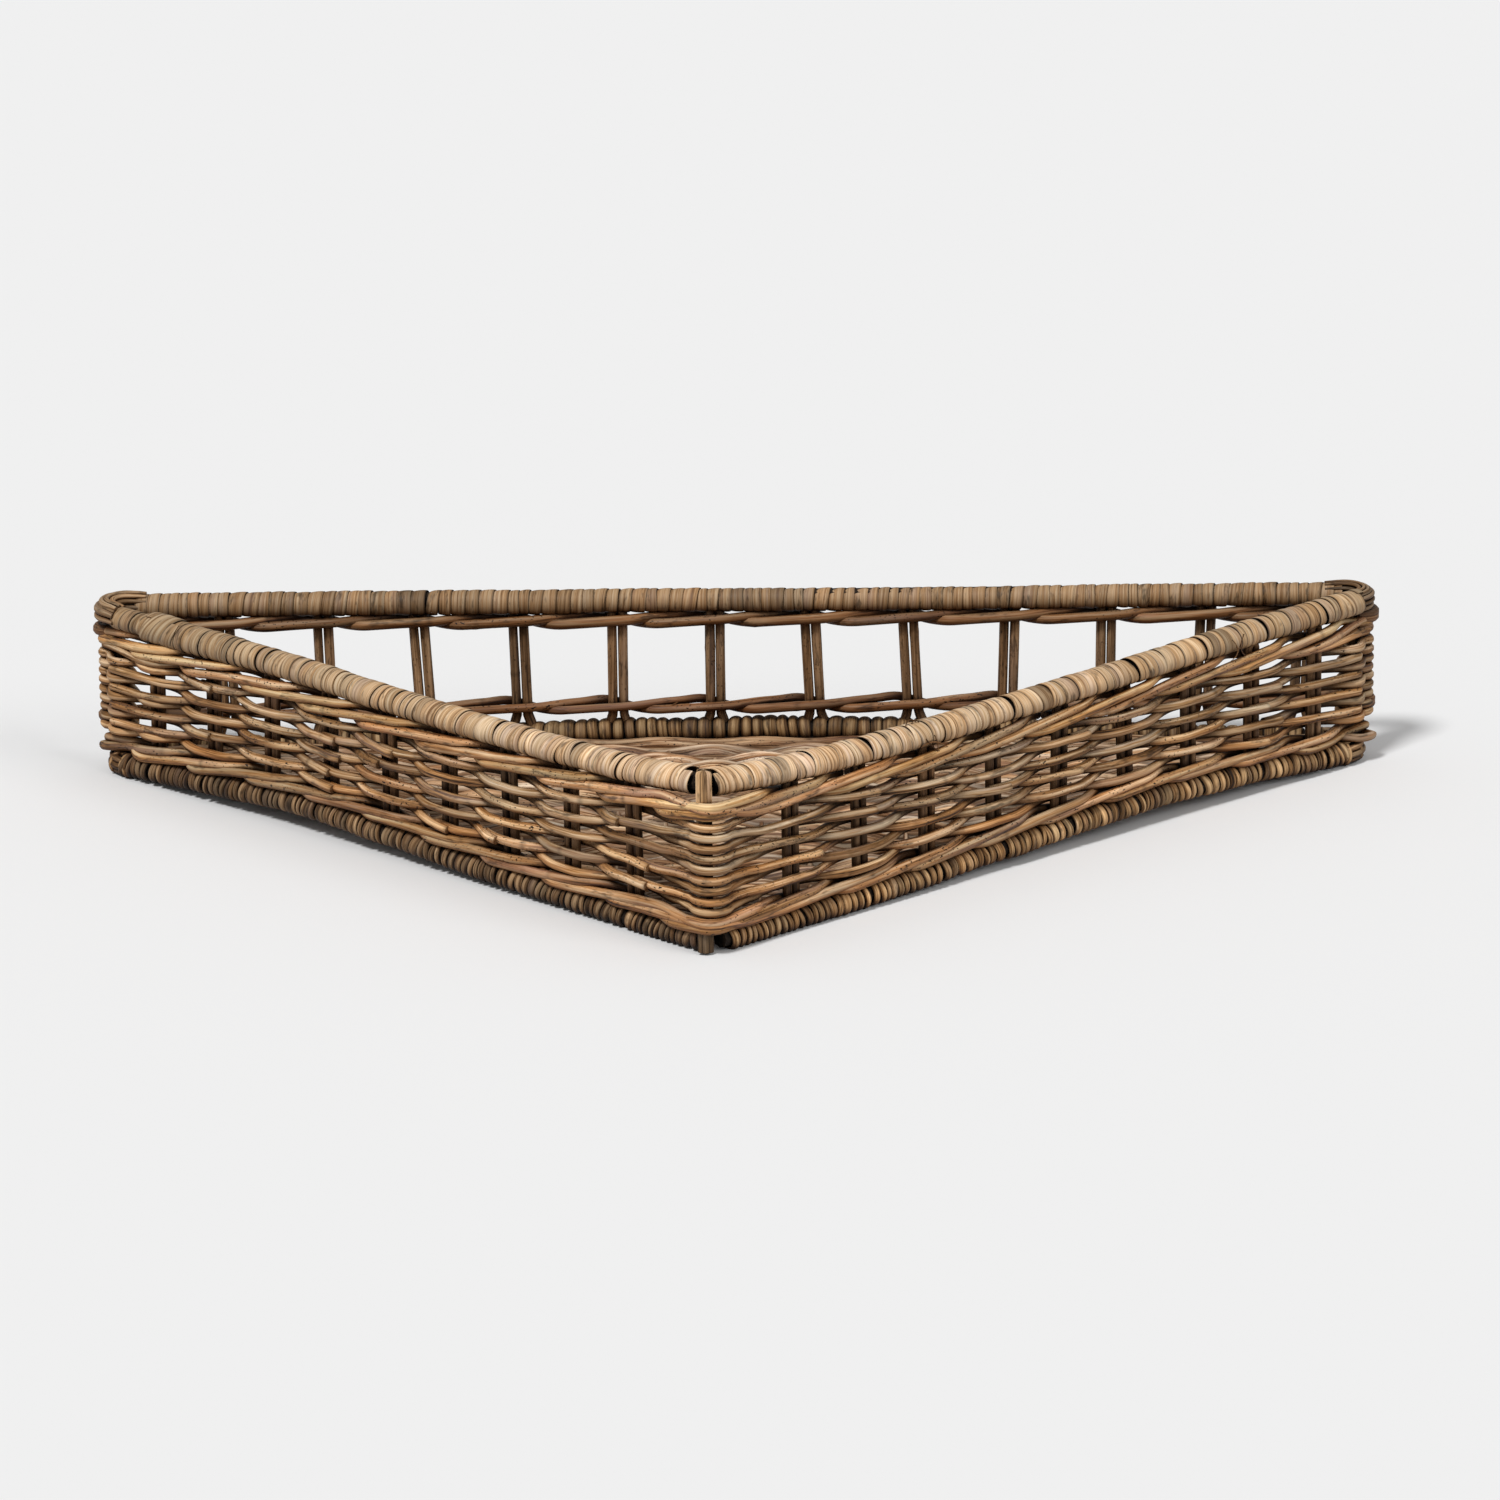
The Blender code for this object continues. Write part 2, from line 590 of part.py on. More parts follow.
def build():
    for old in list(bpy.data.objects):
        bpy.data.objects.remove(old)
    walls, corners = triangle()
    front = (walls["left"].out + walls["right"].out).normalized()
    upper_wale = RIM_HEIGHT - OPEN_RIM_RADIUS * FLAT_COSINE - OPEN_WALE_GAP - WALE_HALF
    lower_wale = BASE_HEIGHT + OPEN_ARCH + BASE_FLAT + OPEN_WALE_GAP + WALE_HALF
    leg_outs = {side: walls[side].out for side in ("left", "right")}
    rails(walls, corners)
    posts(walls, corners)
    stakes(walls, lower_wale)
    for side in ("left", "right"):
        woven_wall(side, walls[side], corners[side], front)
    open_wale("upper", walls["open"], corners, leg_outs, upper_wale)
    open_wale("lower", walls["open"], corners, leg_outs, lower_wale)
    floor_mat(walls, corners, front)


build()
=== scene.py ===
"""Looks of the triangular woven basket: every rod and winding is made again as round, uneven, weathered cane.

Metres, +Z up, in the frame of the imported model. Places and heights come from the frame's own boxes.
"""

import math

import bmesh
import bpy
import numpy as np
from mathutils import Matrix, Vector


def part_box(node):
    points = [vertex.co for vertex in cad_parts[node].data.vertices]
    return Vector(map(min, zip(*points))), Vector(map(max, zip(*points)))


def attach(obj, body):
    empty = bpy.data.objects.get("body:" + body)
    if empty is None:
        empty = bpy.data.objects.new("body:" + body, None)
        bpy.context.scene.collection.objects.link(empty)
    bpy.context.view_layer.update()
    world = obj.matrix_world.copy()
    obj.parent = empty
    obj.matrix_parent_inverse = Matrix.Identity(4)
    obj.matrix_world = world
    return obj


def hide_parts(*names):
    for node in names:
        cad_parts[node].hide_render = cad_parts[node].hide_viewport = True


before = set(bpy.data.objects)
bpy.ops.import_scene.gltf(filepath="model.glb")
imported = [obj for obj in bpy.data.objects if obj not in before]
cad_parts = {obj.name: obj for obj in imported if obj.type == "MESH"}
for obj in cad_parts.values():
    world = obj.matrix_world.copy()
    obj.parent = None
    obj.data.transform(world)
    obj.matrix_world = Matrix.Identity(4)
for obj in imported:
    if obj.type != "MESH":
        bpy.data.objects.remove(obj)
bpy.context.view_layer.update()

MM = 0.001
UP = np.array((0.0, 0.0, 1.0))
SIDES = ("left", "right")

# The photograph's camera, for an image of 1500 by 1500
IMAGE_SIDE = 1500
SENSOR = 36
CAMERA_TURN = math.radians(0.325)
CAMERA_RISE = math.radians(16.211)
CAMERA_ROLL = math.radians(-0.669)
CAMERA_DISTANCE = 5
PIXELS_PER_METRE = 1842.3
AIM_ACROSS = 0.0082
AIM_UP = 0.055

# Light: the world and the lamps together show a level white surface as white
WORLD_SHARE = 0.34
LAMP_SHARES = ((-32, 54, 0.53, 12), (50, 34, 0.13, 30))   # turn and height in degrees, share of light, angle
PALE = 0.871
GROUND_HALF = 30

# Rods and rails, close to the solids. The weavers and wales are a little thicker, as they are rounder here
POLE_RADIUS = 5 * MM
GAP = 0.3 * MM
STAKE_RADIUS = 2.5 * MM
STAKE_SPREAD = STAKE_RADIUS + GAP
WEAVER_RADIUS = 2.42 * MM
WALE_RADIUS = 2.55 * MM
POST_RADIUS = 4.5 * MM
SIDE_RIM_RADIUS = 7.5 * MM
OPEN_RIM_RADIUS = 6.6 * MM
BASE_RADIUS = 7.3 * MM
RIM_BEND = 12 * MM
BASE_BEND = 16 * MM
RIM_SAG = 5 * MM
SAG_PLACE_SHARE = 0.28
SIDE_ARCH = 8 * MM
ARCH_PLACE_SHARE = 0.62
ROWS = 9
SIDE_PAIRS = 9
OPEN_PAIRS = 12
STATION = 2.6 * MM               # from one point of a rod to the next

# Colour ramps (dark, middle, light), roughness, depth of the relief and streaks per metre, by slot
LOOKS = {
    "rim_cane": ((0.26, 0.14, 0.065), (0.67, 0.42, 0.22), (0.95, 0.72, 0.49), 0.55, 0.5, 800),
    "base_cane": ((0.022, 0.010, 0.004), (0.21, 0.112, 0.044), (0.62, 0.43, 0.25), 0.6, 0.6, 480),
    "pole": ((0.010, 0.006, 0.003), (0.035, 0.02, 0.010), (0.08, 0.05, 0.03), 0.7, 0.5, 480),
    "stake": ((0.032, 0.015, 0.006), (0.22, 0.122, 0.055), (0.46, 0.29, 0.16), 0.58, 0.6, 480),
    "weaver": ((0.045, 0.019, 0.006), (0.53, 0.28, 0.108), (1.0, 0.76, 0.50), 0.55, 0.6, 480),
    "wale": ((0.085, 0.032, 0.008), (0.68, 0.33, 0.12), (0.96, 0.67, 0.385), 0.48, 0.55, 420),
    "floor": ((0.05, 0.02, 0.008), (0.42, 0.225, 0.11), (0.98, 0.77, 0.56), 0.55, 0.6, 480),
}

# Fineness of the patterns in a material, per metre: twice across the grain, then along it
STREAKS_ALONG = 14
FIBRES_FINENESS = (2300, 2300, 60)
PATCHES_FINENESS = (150, 150, 11)
STAINS_FINENESS = (260, 260, 60)
DOTS_FINENESS = (1000, 1000, 620)
DOTTED_FINENESS = (200, 200, 60)
RELIEF_DEPTH = 0.25 * MM

# Painted shade between parts: how far it looks for a neighbour, and its shade by how open a spot is
CREVICE_REACH = 11 * MM
CREVICE_RAMP = ((0.15, (0.03, 0.011, 0.002)), (0.48, (0.44, 0.32, 0.20)), (0.78, (1.0, 1.0, 1.0)))

# How a rod changes along its length, and the rings that its leaves left
THICK_WAVE = 50 * MM
THICK_CHANGE = 0.06
SHADE_WAVE = 70 * MM
FINE_SHADE_WAVE = 18 * MM
SHADE_CHANGE = 0.2
OVAL_WAVE = 60 * MM
OVAL_CHANGE = 0.035
WARM_WAVE = 90 * MM
WARM_CHANGE = 0.05
RING_WIDTH = 1.6 * MM
RING_SWELL = 0.07
RING_SHADOW_PLACE = 1 * MM
RING_SHADOW_WIDTH = 1.1 * MM
RING_SHADOW = 0.45
TIP_RUN = 12 * MM                # a rod tapers or swells to its end over this
END_SHADE = 0.6                  # of the cut end itself
UNDERSIDE_PAINTED_SHADE = (0.42, 0.32, 0.23)  # painted shade of a rod's underside against its top


def vec(x, y, z=0.0):
    return np.array((x, y, z), dtype=float)


def middle_of(node):
    low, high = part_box(node)
    return vec(*((low + high) / 2))


def unit(vectors):
    """The vectors scaled to length 1."""
    return vectors / np.linalg.norm(vectors, axis=-1, keepdims=True)


def bow(share, crest):
    """A smooth bow over a side, 0 at both ends and 1 at the crest."""
    inside = np.clip(share, 0, 1)
    return np.sin(np.pi * inside ** (math.log(1 / 2) / math.log(crest))) ** 2


def ease(share):
    """A smooth step from 0 to 1."""
    inside = np.clip(share, 0, 1)
    return inside * inside * (3 - 2 * inside)


def rising(values, first, last):
    """A smooth step from 0 at the first value to 1 at the last, which may be the lesser one."""
    return ease((values - first) / (last - first))


def smoothed(values, reach=3):
    """A line of values with its corners rounded off."""
    kernel = np.hanning(2 * reach + 3)[1:-1]
    padded = np.pad(values, reach, mode="edge")
    return np.convolve(padded, kernel / kernel.sum(), mode="valid")


def drift(places, wave, rng):
    """Smooth noise along a line: about -1 to 1, changing over the given length."""
    reach = places - places.min()
    count = int(reach.max() / wave) + 3
    knots = rng.uniform(-1, 1, count)
    cell = np.minimum((reach / wave).astype(int), count - 2)
    return knots[cell] + (knots[cell + 1] - knots[cell]) * ease(reach / wave - cell)


NEAR = middle_of("post_near") * (1, 1, 0)
OPEN_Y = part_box("rim_pole")[1].y - POLE_RADIUS
RIM_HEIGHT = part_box("rim_pole")[1].z - POLE_RADIUS
BASE_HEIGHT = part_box("base_pole")[0].z + POLE_RADIUS
OPEN_ARCH = (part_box("base_pole")[1].z - POLE_RADIUS) - BASE_HEIGHT


class Wall:
    """One side of the triangle. Places on it run along from its start, with positive offsets outside."""

    def __init__(self, start, end, outward, sag, arch, arch_place):
        self.start = start
        self.length = float(np.linalg.norm(end - start))
        self.along = unit(end - start)
        self.out = np.cross(self.along, UP) * outward
        self.sag = sag
        self.arch = arch
        self.arch_place = arch_place
        self.pairs = []

    def rim(self, along):
        return RIM_HEIGHT - self.sag * bow(np.asarray(along) / self.length, SAG_PLACE_SHARE)

    def base(self, along):
        return BASE_HEIGHT + self.arch * bow(np.asarray(along) / self.length, self.arch_place)

    def at(self, along, offset, height):
        along, offset, height = np.broadcast_arrays(along, offset, height)
        return (self.start + along[..., None] * self.along + offset[..., None] * self.out
                + height[..., None] * UP)

    def place_of(self, point):
        """A point's place along this wall and its offset."""
        flat = (point - self.start) * (1, 1, 0)
        return float(flat @ self.along), float(flat @ self.out)


def stake_nodes(name, count):
    return [f"stakes_{name}_{index + 1}" for index in range(count)]


def sharp_corner(node):
    """Where the line from the near corner through this pair of stakes meets the open side's line."""
    toward = middle_of(node) * (1, 1, 0) - NEAR
    return NEAR + toward * (OPEN_Y - NEAR[1]) / toward[1]


LEFT = sharp_corner(stake_nodes("left", SIDE_PAIRS)[-1])
RIGHT = sharp_corner(stake_nodes("right", SIDE_PAIRS)[-1])
WALLS = {
    "left": Wall(NEAR, LEFT, -1, RIM_SAG, SIDE_ARCH, ARCH_PLACE_SHARE),
    "right": Wall(NEAR, RIGHT, 1, RIM_SAG, SIDE_ARCH, ARCH_PLACE_SHARE),
    "open": Wall(LEFT, RIGHT, -1, 0, OPEN_ARCH, 1 / 2),
}
for wall_name, pair_count in (("left", SIDE_PAIRS), ("right", SIDE_PAIRS), ("open", OPEN_PAIRS)):
    wall = WALLS[wall_name]
    wall.pairs = [wall.place_of(middle_of(node))[0] for node in stake_nodes(wall_name, pair_count)]
POSTS = {side: middle_of("post_" + side) * (1, 1, 0) for side in SIDES}
POST_PLACES = {side: WALLS[side].place_of(POSTS[side]) for side in SIDES}

# The far corners: the sharp corner, the two directions that meet there, the one halfway, and half the angle
BENDS = {}
for side, tip, way in (("left", LEFT, 1), ("right", RIGHT, -1)):
    toward_leg = -WALLS[side].along
    toward_open = WALLS["open"].along * way
    half_angle = math.acos(float(toward_leg @ toward_open)) / 2
    BENDS[side] = (tip, toward_leg, toward_open, unit(toward_leg + toward_open), half_angle)


def bend_start(side, bend):
    """How far before a sharp far corner a rail with this bend starts to turn."""
    return bend / math.tan(BENDS[side][-1])


class Skin:
    """The strands of one piece, gathered into one mesh with its grain and its tint."""

    def __init__(self, name, slot, seed):
        self.name = name
        self.slot = slot
        self.rng = np.random.RandomState(seed)
        self.points, self.faces, self.grain, self.tint, self.speck = [], [], [], [], []
        self.count = 0

    def add(self, rings, grain, tint, speck=0.0):
        """A closed skin over rings of points, with a grain vector and a tint for each point."""
        lines, sides = rings.shape[:2]
        row = np.arange(lines - 1)[:, None] * sides + self.count
        column = np.arange(sides)[None, :]
        following = (column + 1) % sides
        quads = np.stack((row + column, row + following, row + sides + following, row + sides + column), -1)
        last = self.count + (lines - 1) * sides
        self.faces += quads.reshape(-1, 4).tolist()
        self.faces.append(list(range(self.count + sides - 1, self.count - 1, -1)))
        self.faces.append(list(range(last, last + sides)))
        offset = self.rng.uniform(0, 3, 3) * (1, 1, 0)
        self.points.append(rings.reshape(-1, 3))
        self.grain.append(grain.reshape(-1, 3) + offset)
        self.tint.append(np.broadcast_to(tint, (lines, sides, 3)).reshape(-1, 3))
        self.speck.append(np.full(lines * sides, speck))
        self.count += lines * sides

    def rod(self, route, radius, tone, sides=10, reference=UP, speck=0.0, knots=130 * MM, ends=(1.0, 1.0),
            shading=1.0, under=UNDERSIDE_PAINTED_SHADE):
        """A rod along a route of closely spaced points. Its radius and shading may change along it."""
        route = np.asarray(route, dtype=float)
        steps = np.linalg.norm(np.diff(route, axis=0), axis=1)
        keep = np.concatenate(((True,), steps > MM / 1000))
        radius = np.broadcast_to(radius, len(route))[keep]
        shading = np.broadcast_to(shading, len(route))[keep]
        route = route[keep]
        steps = np.linalg.norm(np.diff(route, axis=0), axis=1)
        place = np.concatenate(((0.0,), np.cumsum(steps)))
        length = place[-1]
        tangent = unit(np.gradient(route, axis=0))
        normal = unit(reference - (tangent @ reference)[:, None] * tangent)
        across = np.cross(tangent, normal)
        thick = radius * (1 + THICK_CHANGE * drift(place, THICK_WAVE, self.rng))
        shade = 1 + SHADE_CHANGE * drift(place, SHADE_WAVE, self.rng)
        shade = shade + SHADE_CHANGE / 2 * drift(place, FINE_SHADE_WAVE, self.rng)
        spot = self.rng.uniform(20 * MM, knots)
        while spot < length:
            thick = thick * (1 + RING_SWELL * np.exp(-((place - spot) / RING_WIDTH) ** 2))
            behind = (place - spot - RING_SHADOW_PLACE) / RING_SHADOW_WIDTH
            shade = shade * (1 - RING_SHADOW * np.exp(-behind ** 2))
            spot += knots * self.rng.uniform(0.7, 1.5)
        stops = (0, TIP_RUN, max(length - TIP_RUN, TIP_RUN + MM), length)
        thick = thick * np.interp(place, stops, (ends[0], 1, 1, ends[1]))
        angle = np.arange(sides) / sides * 2 * np.pi
        oval = 1 + OVAL_CHANGE * np.sin(2 * angle[None, :] + 3 * drift(place, OVAL_WAVE, self.rng)[:, None])
        reach = thick[:, None] * oval
        rings = (route[:, None] + normal[:, None] * (np.cos(angle) * reach)[..., None]
                 + across[:, None] * (np.sin(angle) * reach)[..., None])
        grain = np.stack((np.cos(angle) * reach, np.sin(angle) * reach,
                          np.broadcast_to(place[:, None], reach.shape)), -1)
        warm = 1 + WARM_CHANGE * drift(place, WARM_WAVE, self.rng)
        tint = np.asarray(tone) * np.stack((shade * warm, shade, shade / warm), -1) * shading[:, None]
        tint[[0, -1]] *= END_SHADE
        # Painted shade: the side turned from the reference, the underside for most rods, is darker
        below = ease(0.45 - 0.8 * np.cos(angle))[None, :, None]
        self.add(rings, grain, tint[:, None, :] * (1 - below * (1 - np.array(under))), speck)

    def finish(self, *nodes):
        """The mesh as a piece that rides on the body and stands for these nodes."""
        mesh = bpy.data.meshes.new(self.name)
        mesh.from_pydata(np.concatenate(self.points).tolist(), [], self.faces)
        shape = bmesh.new()
        shape.from_mesh(mesh)
        bmesh.ops.recalc_face_normals(shape, faces=shape.faces)
        shape.to_mesh(mesh)
        shape.free()
        for label, kind, values in (
            ("grain", "FLOAT_VECTOR", np.concatenate(self.grain)),
            ("tint", "FLOAT_VECTOR", np.concatenate(self.tint)),
            ("speck", "FLOAT", np.concatenate(self.speck)),
        ):
            layer = mesh.attributes.new(label, kind, "POINT")
            layer.data.foreach_set("vector" if kind == "FLOAT_VECTOR" else "value", values.ravel())
        mesh.materials.append(MATERIALS[self.slot])
        mesh.shade_smooth()
        mesh.set_sharp_from_angle(angle=math.radians(62))
        piece = bpy.data.objects.new(self.name, mesh)
        bpy.context.scene.collection.objects.link(piece)
        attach(piece, "root")
        if nodes:
            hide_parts(*nodes)


def cane_material(slot):
    """Weathered cane: fine streaks along the grain, grey blotches, small dark specks, a fibrous relief and
    painted shade in the hollows between parts.
    """
    dark, middle, light, roughness, relief, fineness = LOOKS[slot]
    made = bpy.data.materials.new("cane_" + slot)
    made.use_nodes = True
    tree = made.node_tree
    shader = tree.nodes["Principled BSDF"]

    def node(kind, **settings):
        added = tree.nodes.new(kind)
        for key, value in settings.items():
            setattr(added, key, value)
        return added

    def noise(scale, detail=2.0, rough=0.6):
        stretch = node("ShaderNodeVectorMath", operation="MULTIPLY")
        stretch.inputs[1].default_value = scale
        tree.links.new(grain.outputs["Vector"], stretch.inputs[0])
        field = node("ShaderNodeTexNoise")
        field.inputs["Scale"].default_value = 1
        field.inputs["Detail"].default_value = detail
        field.inputs["Roughness"].default_value = rough
        tree.links.new(stretch.outputs[0], field.inputs["Vector"])
        return field.outputs["Fac"]

    def ramp(source, *stops):
        made_ramp = node("ShaderNodeValToRGB")
        points = made_ramp.color_ramp.elements
        while len(points) < len(stops):
            points.new(1)
        for point, (place, colour) in zip(points, stops):
            point.position = place
            point.color = (*colour, 1) if isinstance(colour, tuple) else (colour, colour, colour, 1)
        tree.links.new(source, made_ramp.inputs[0])
        return made_ramp.outputs["Color"]

    def mix(kind, factor, first, second):
        mixer = node("ShaderNodeMix", data_type="RGBA", blend_type=kind)
        for socket, value in ((mixer.inputs[0], factor), (mixer.inputs[6], first), (mixer.inputs[7], second)):
            if isinstance(value, (int, float)):
                socket.default_value = value
            elif isinstance(value, tuple):
                socket.default_value = (*value, 1)
            else:
                tree.links.new(value, socket)
        return mixer.outputs[2]

    def times(first, second):
        product = node("ShaderNodeMath", operation="MULTIPLY")
        tree.links.new(first, product.inputs[0])
        if isinstance(second, (int, float)):
            product.inputs[1].default_value = second
        else:
            tree.links.new(second, product.inputs[1])
        return product.outputs[0]

    grain = node("ShaderNodeAttribute", attribute_name="grain")
    tint = node("ShaderNodeAttribute", attribute_name="tint")
    speck = node("ShaderNodeAttribute", attribute_name="speck")
    streaks = noise((fineness, fineness, STREAKS_ALONG), 4, 0.66)
    fibres = noise(FIBRES_FINENESS, 2, 0.5)
    colour = ramp(streaks, (0.32, dark), (0.45, middle), (0.62, light))
    colour = mix("MULTIPLY", 0.6, colour, ramp(fibres, (0.38, 0.6), (0.56, 1.0)))
    grey = sum(middle) / 3
    weather = (0.5 * grey + 0.5 * middle[0], 0.6 * grey + 0.4 * middle[1], 0.8 * grey + 0.2 * middle[2])
    patches = ramp(noise(PATCHES_FINENESS, 3), (0.52, 0.0), (0.68, 0.4))
    colour = mix("MIX", patches, colour, weather)
    stains = ramp(noise(STAINS_FINENESS, 3, 0.7), (0.32, 0.25), (0.44, 1.0))
    colour = mix("MULTIPLY", 0.85, colour, stains)
    dots = ramp(noise(DOTS_FINENESS, 1, 0.4), (0.64, 0.0), (0.67, 1.0))
    dotted = ramp(noise(DOTTED_FINENESS), (0.42, 0.0), (0.52, 1.0))
    spots = times(times(dots, dotted), speck.outputs["Fac"])
    colour = mix("MIX", spots, colour, tuple(channel * 0.25 for channel in dark))
    colour = mix("MULTIPLY", 1.0, colour, tint.outputs["Color"])
    # Painted shade: the colour darkens where neighbours close a spot in
    crevice_shade_node = node("ShaderNodeAmbientOcclusion", samples=4)
    crevice_shade_node.inputs["Distance"].default_value = CREVICE_REACH
    crevice_shade = ramp(crevice_shade_node.outputs["AO"], *CREVICE_RAMP)
    colour = mix("MULTIPLY", 1.0, colour, crevice_shade)
    tree.links.new(colour, shader.inputs["Base Color"])
    rough = node("ShaderNodeMapRange")
    rough.inputs["To Min"].default_value = roughness - 0.12
    rough.inputs["To Max"].default_value = roughness + 0.16
    tree.links.new(fibres, rough.inputs["Value"])
    tree.links.new(rough.outputs["Result"], shader.inputs["Roughness"])
    bump = node("ShaderNodeBump")
    bump.inputs["Strength"].default_value = relief
    bump.inputs["Distance"].default_value = RELIEF_DEPTH
    height = node("ShaderNodeMath", operation="ADD")
    tree.links.new(times(streaks, 1.4), height.inputs[0])
    tree.links.new(fibres, height.inputs[1])
    tree.links.new(height.outputs[0], bump.inputs["Height"])
    tree.links.new(bump.outputs["Normal"], shader.inputs["Normal"])
    shader.inputs["Specular IOR Level"].default_value = 0.2
    return made


MATERIALS = {slot: cane_material(slot) for slot in LOOKS}


# Settings of the windings. Along the pole: a turn's pitch, how unlike the turns are (spread), how far a turn
# laps the next, and the slit where a pair comes up. Across it: the strip's crown, thickness, tilt and wobble,
# and how far it drops. Slant leans all turns, and unruly leans each its own way. The rest is shade: from turn
# to turn, the share of dark turns, painted shade at the edges where the turns meet, at the wall's start and
# end, and the painted shade of the lower half
LEG_RIM = {
    "pitch": 6.1 * MM, "spread": 0.4, "crown": 0.35 * MM, "lap": 0.24, "slant": -0.12, "tilt": -0.4 * MM,
    "edges": (0.42, 1.17), "unruly": 0.19, "shades": (0.86, 1.06), "dark_share": 0.04, "below": 0.5,
}
RIM_PATCH = {
    "pitch": 8 * MM, "spread": 0.3, "crown": 0.4 * MM, "lap": 0.1, "slant": -0.5, "edges": (0.8, 0.8),
    "unruly": 0.3, "below": 0.5,
}
OPEN_RIM = {
    "pitch": 6.6 * MM, "spread": 0.3, "crown": 0.4 * MM, "lap": 0.12, "slant": -0.12, "tilt": 0.7 * MM,
    "slit": 1.8 * MM, "shades": (0.8, 1.12), "dark_share": 0.14, "drop": 1.2 * MM,
}
LEG_BASE = {
    "pitch": 4.7 * MM, "spread": 0.42, "crown": 1.4 * MM, "lap": -0.06, "slant": -0.1, "slit": 2.3 * MM,
    "thick": 1.9 * MM, "edges": (0.7, 0.7), "unruly": 0.2, "shades": (0.62, 1.3), "dark_share": 0.16,
    "wobble": 0.7 * MM,
}
OPEN_BASE = {
    "pitch": 7.2 * MM, "spread": 0.26, "crown": 1.3 * MM, "lap": -0.05, "slant": -0.2, "slit": 1.2 * MM,
    "thick": 2.2 * MM, "edges": (0.8, 0.8), "shades": (0.8, 1.15),
}
STRIP_OUTLINE = np.linspace(-0.5, 0.5, 8)      # across a strip's outer face, in widths
STRIP_INSIDE = (0.46, -0.46)                   # and its two inner edges
STRIP_LIFT = 0.22 * MM
STRIP_WAVER = 0.1 * MM
STRIP_OVERRUN = 0.5 * MM
TURN_STEPS = 28
DARK_STRIP = 0.55
SWAY_WAVE = 30 * MM
HEAVE_WAVE = 37 * MM
LOWER_SHADE_HUE = (1.0, 1.1, 1.2)


def wound(skin, wall, span, level, radius_at, tone_at, slits=(), *, pitch, spread, crown, lap, slant,
          tilt=0.0, slit=2.2 * MM, thick=0.9 * MM, edges=(0.6, 0.6), shades=(0.9, 1.06), dark_share=0.0,
          wobble=0.45 * MM, drop=0.0, unruly=0.1, below=0.3):
    """Cane wound round a pole as one uneven, unbroken strip, with a slit where each pair comes up."""
    rng = skin.rng
    start, stop = span
    bounds, widths = [start], []
    waiting = sorted(slits)
    while bounds[-1] < stop:
        width = pitch * (1 + spread * rng.uniform(-1, 1))
        widths.append(width)
        step = width
        if waiting and bounds[-1] + width > waiting[0]:
            waiting.pop(0)
            step += slit * rng.uniform(0.6, 1.4)
        bounds.append(bounds[-1] + step)
    widths = np.array(widths)
    centres = np.array(bounds[:-1]) + widths / 2
    count = len(centres)
    turn = np.arange((count - 1) * TURN_STEPS + 1) / TURN_STEPS

    def by_turn(values):
        return np.interp(turn, np.arange(count), values)

    centre = by_turn(centres)
    width = by_turn(widths * (1 + lap))
    lift = by_turn(rng.uniform(-1, 1, count)) * STRIP_LIFT + STRIP_WAVER * drift(turn, 0.3, rng)
    strips = rng.uniform(*shades, count)
    strips = np.where(rng.uniform(0, 1, count) < dark_share, strips * DARK_STRIP, strips)
    shade = by_turn(strips) * (1 + 0.1 * drift(turn, 0.4, rng))
    warm = by_turn(rng.uniform(-0.04, 0.05, count))
    lean = slant + unruly * by_turn(rng.uniform(-1, 1, count))
    angle = 1 - 2 * np.pi * turn
    sine, cosine = np.sin(angle)[:, None], np.cos(angle)[:, None]
    radius = np.broadcast_to(radius_at(centre), centre.shape)
    mean_radius = float(np.mean(radius))
    bulge = crown * (1 - np.abs(2 * STRIP_OUTLINE) ** 2.4)
    outer = (radius + lift)[:, None] - crown + bulge + tilt * STRIP_OUTLINE
    inner = (radius + lift - thick)[:, None] + tilt * STRIP_OUTLINE[[-1, 0]]
    reach = np.concatenate((outer, inner), axis=1)
    share = np.concatenate((STRIP_OUTLINE, STRIP_INSIDE))
    along = centre[:, None] + share * width[:, None] + lean[:, None] * radius[:, None] * sine
    along = np.clip(along, start - STRIP_OVERRUN, stop + STRIP_OVERRUN)
    sway = wobble * drift(centre, SWAY_WAVE, rng)[:, None]
    heave = wobble * drift(centre, HEAVE_WAVE, rng)[:, None] - drop
    rings = wall.at(along, sway + reach * cosine, level(along) + heave + reach * sine)
    rings[..., 2] = np.maximum(rings[..., 2], 0)
    grain = np.stack((np.broadcast_to(share * pitch, reach.shape), reach - mean_radius,
                      np.broadcast_to(turn[:, None] * 2 * np.pi * mean_radius, reach.shape)), -1)
    # Painted shade in the grooves where the turns meet: their edges are darker
    groove_shade = by_turn(rng.uniform(0.25, 1.3, count)) * np.interp(centre, (0, wall.length), edges)
    edge_shade = 1 - np.clip(groove_shade, 0, 0.9)[:, None] * np.abs(2 * share) ** 9
    hue = np.stack((1 + warm, np.ones_like(warm), 1 - warm), -1)
    # Painted shade: the lower half of each turn is darker
    painted_lower_shade = below * ease(0.35 - 0.75 * sine) * LOWER_SHADE_HUE
    tint = (tone_at(centre) * hue * shade[:, None] * (1 - painted_lower_shade))[:, None, :] * edge_shade[:, :, None]
    skin.add(rings, grain, tint)


def steady(value):
    """A setting that stays the same all along a wall."""
    return lambda along: value


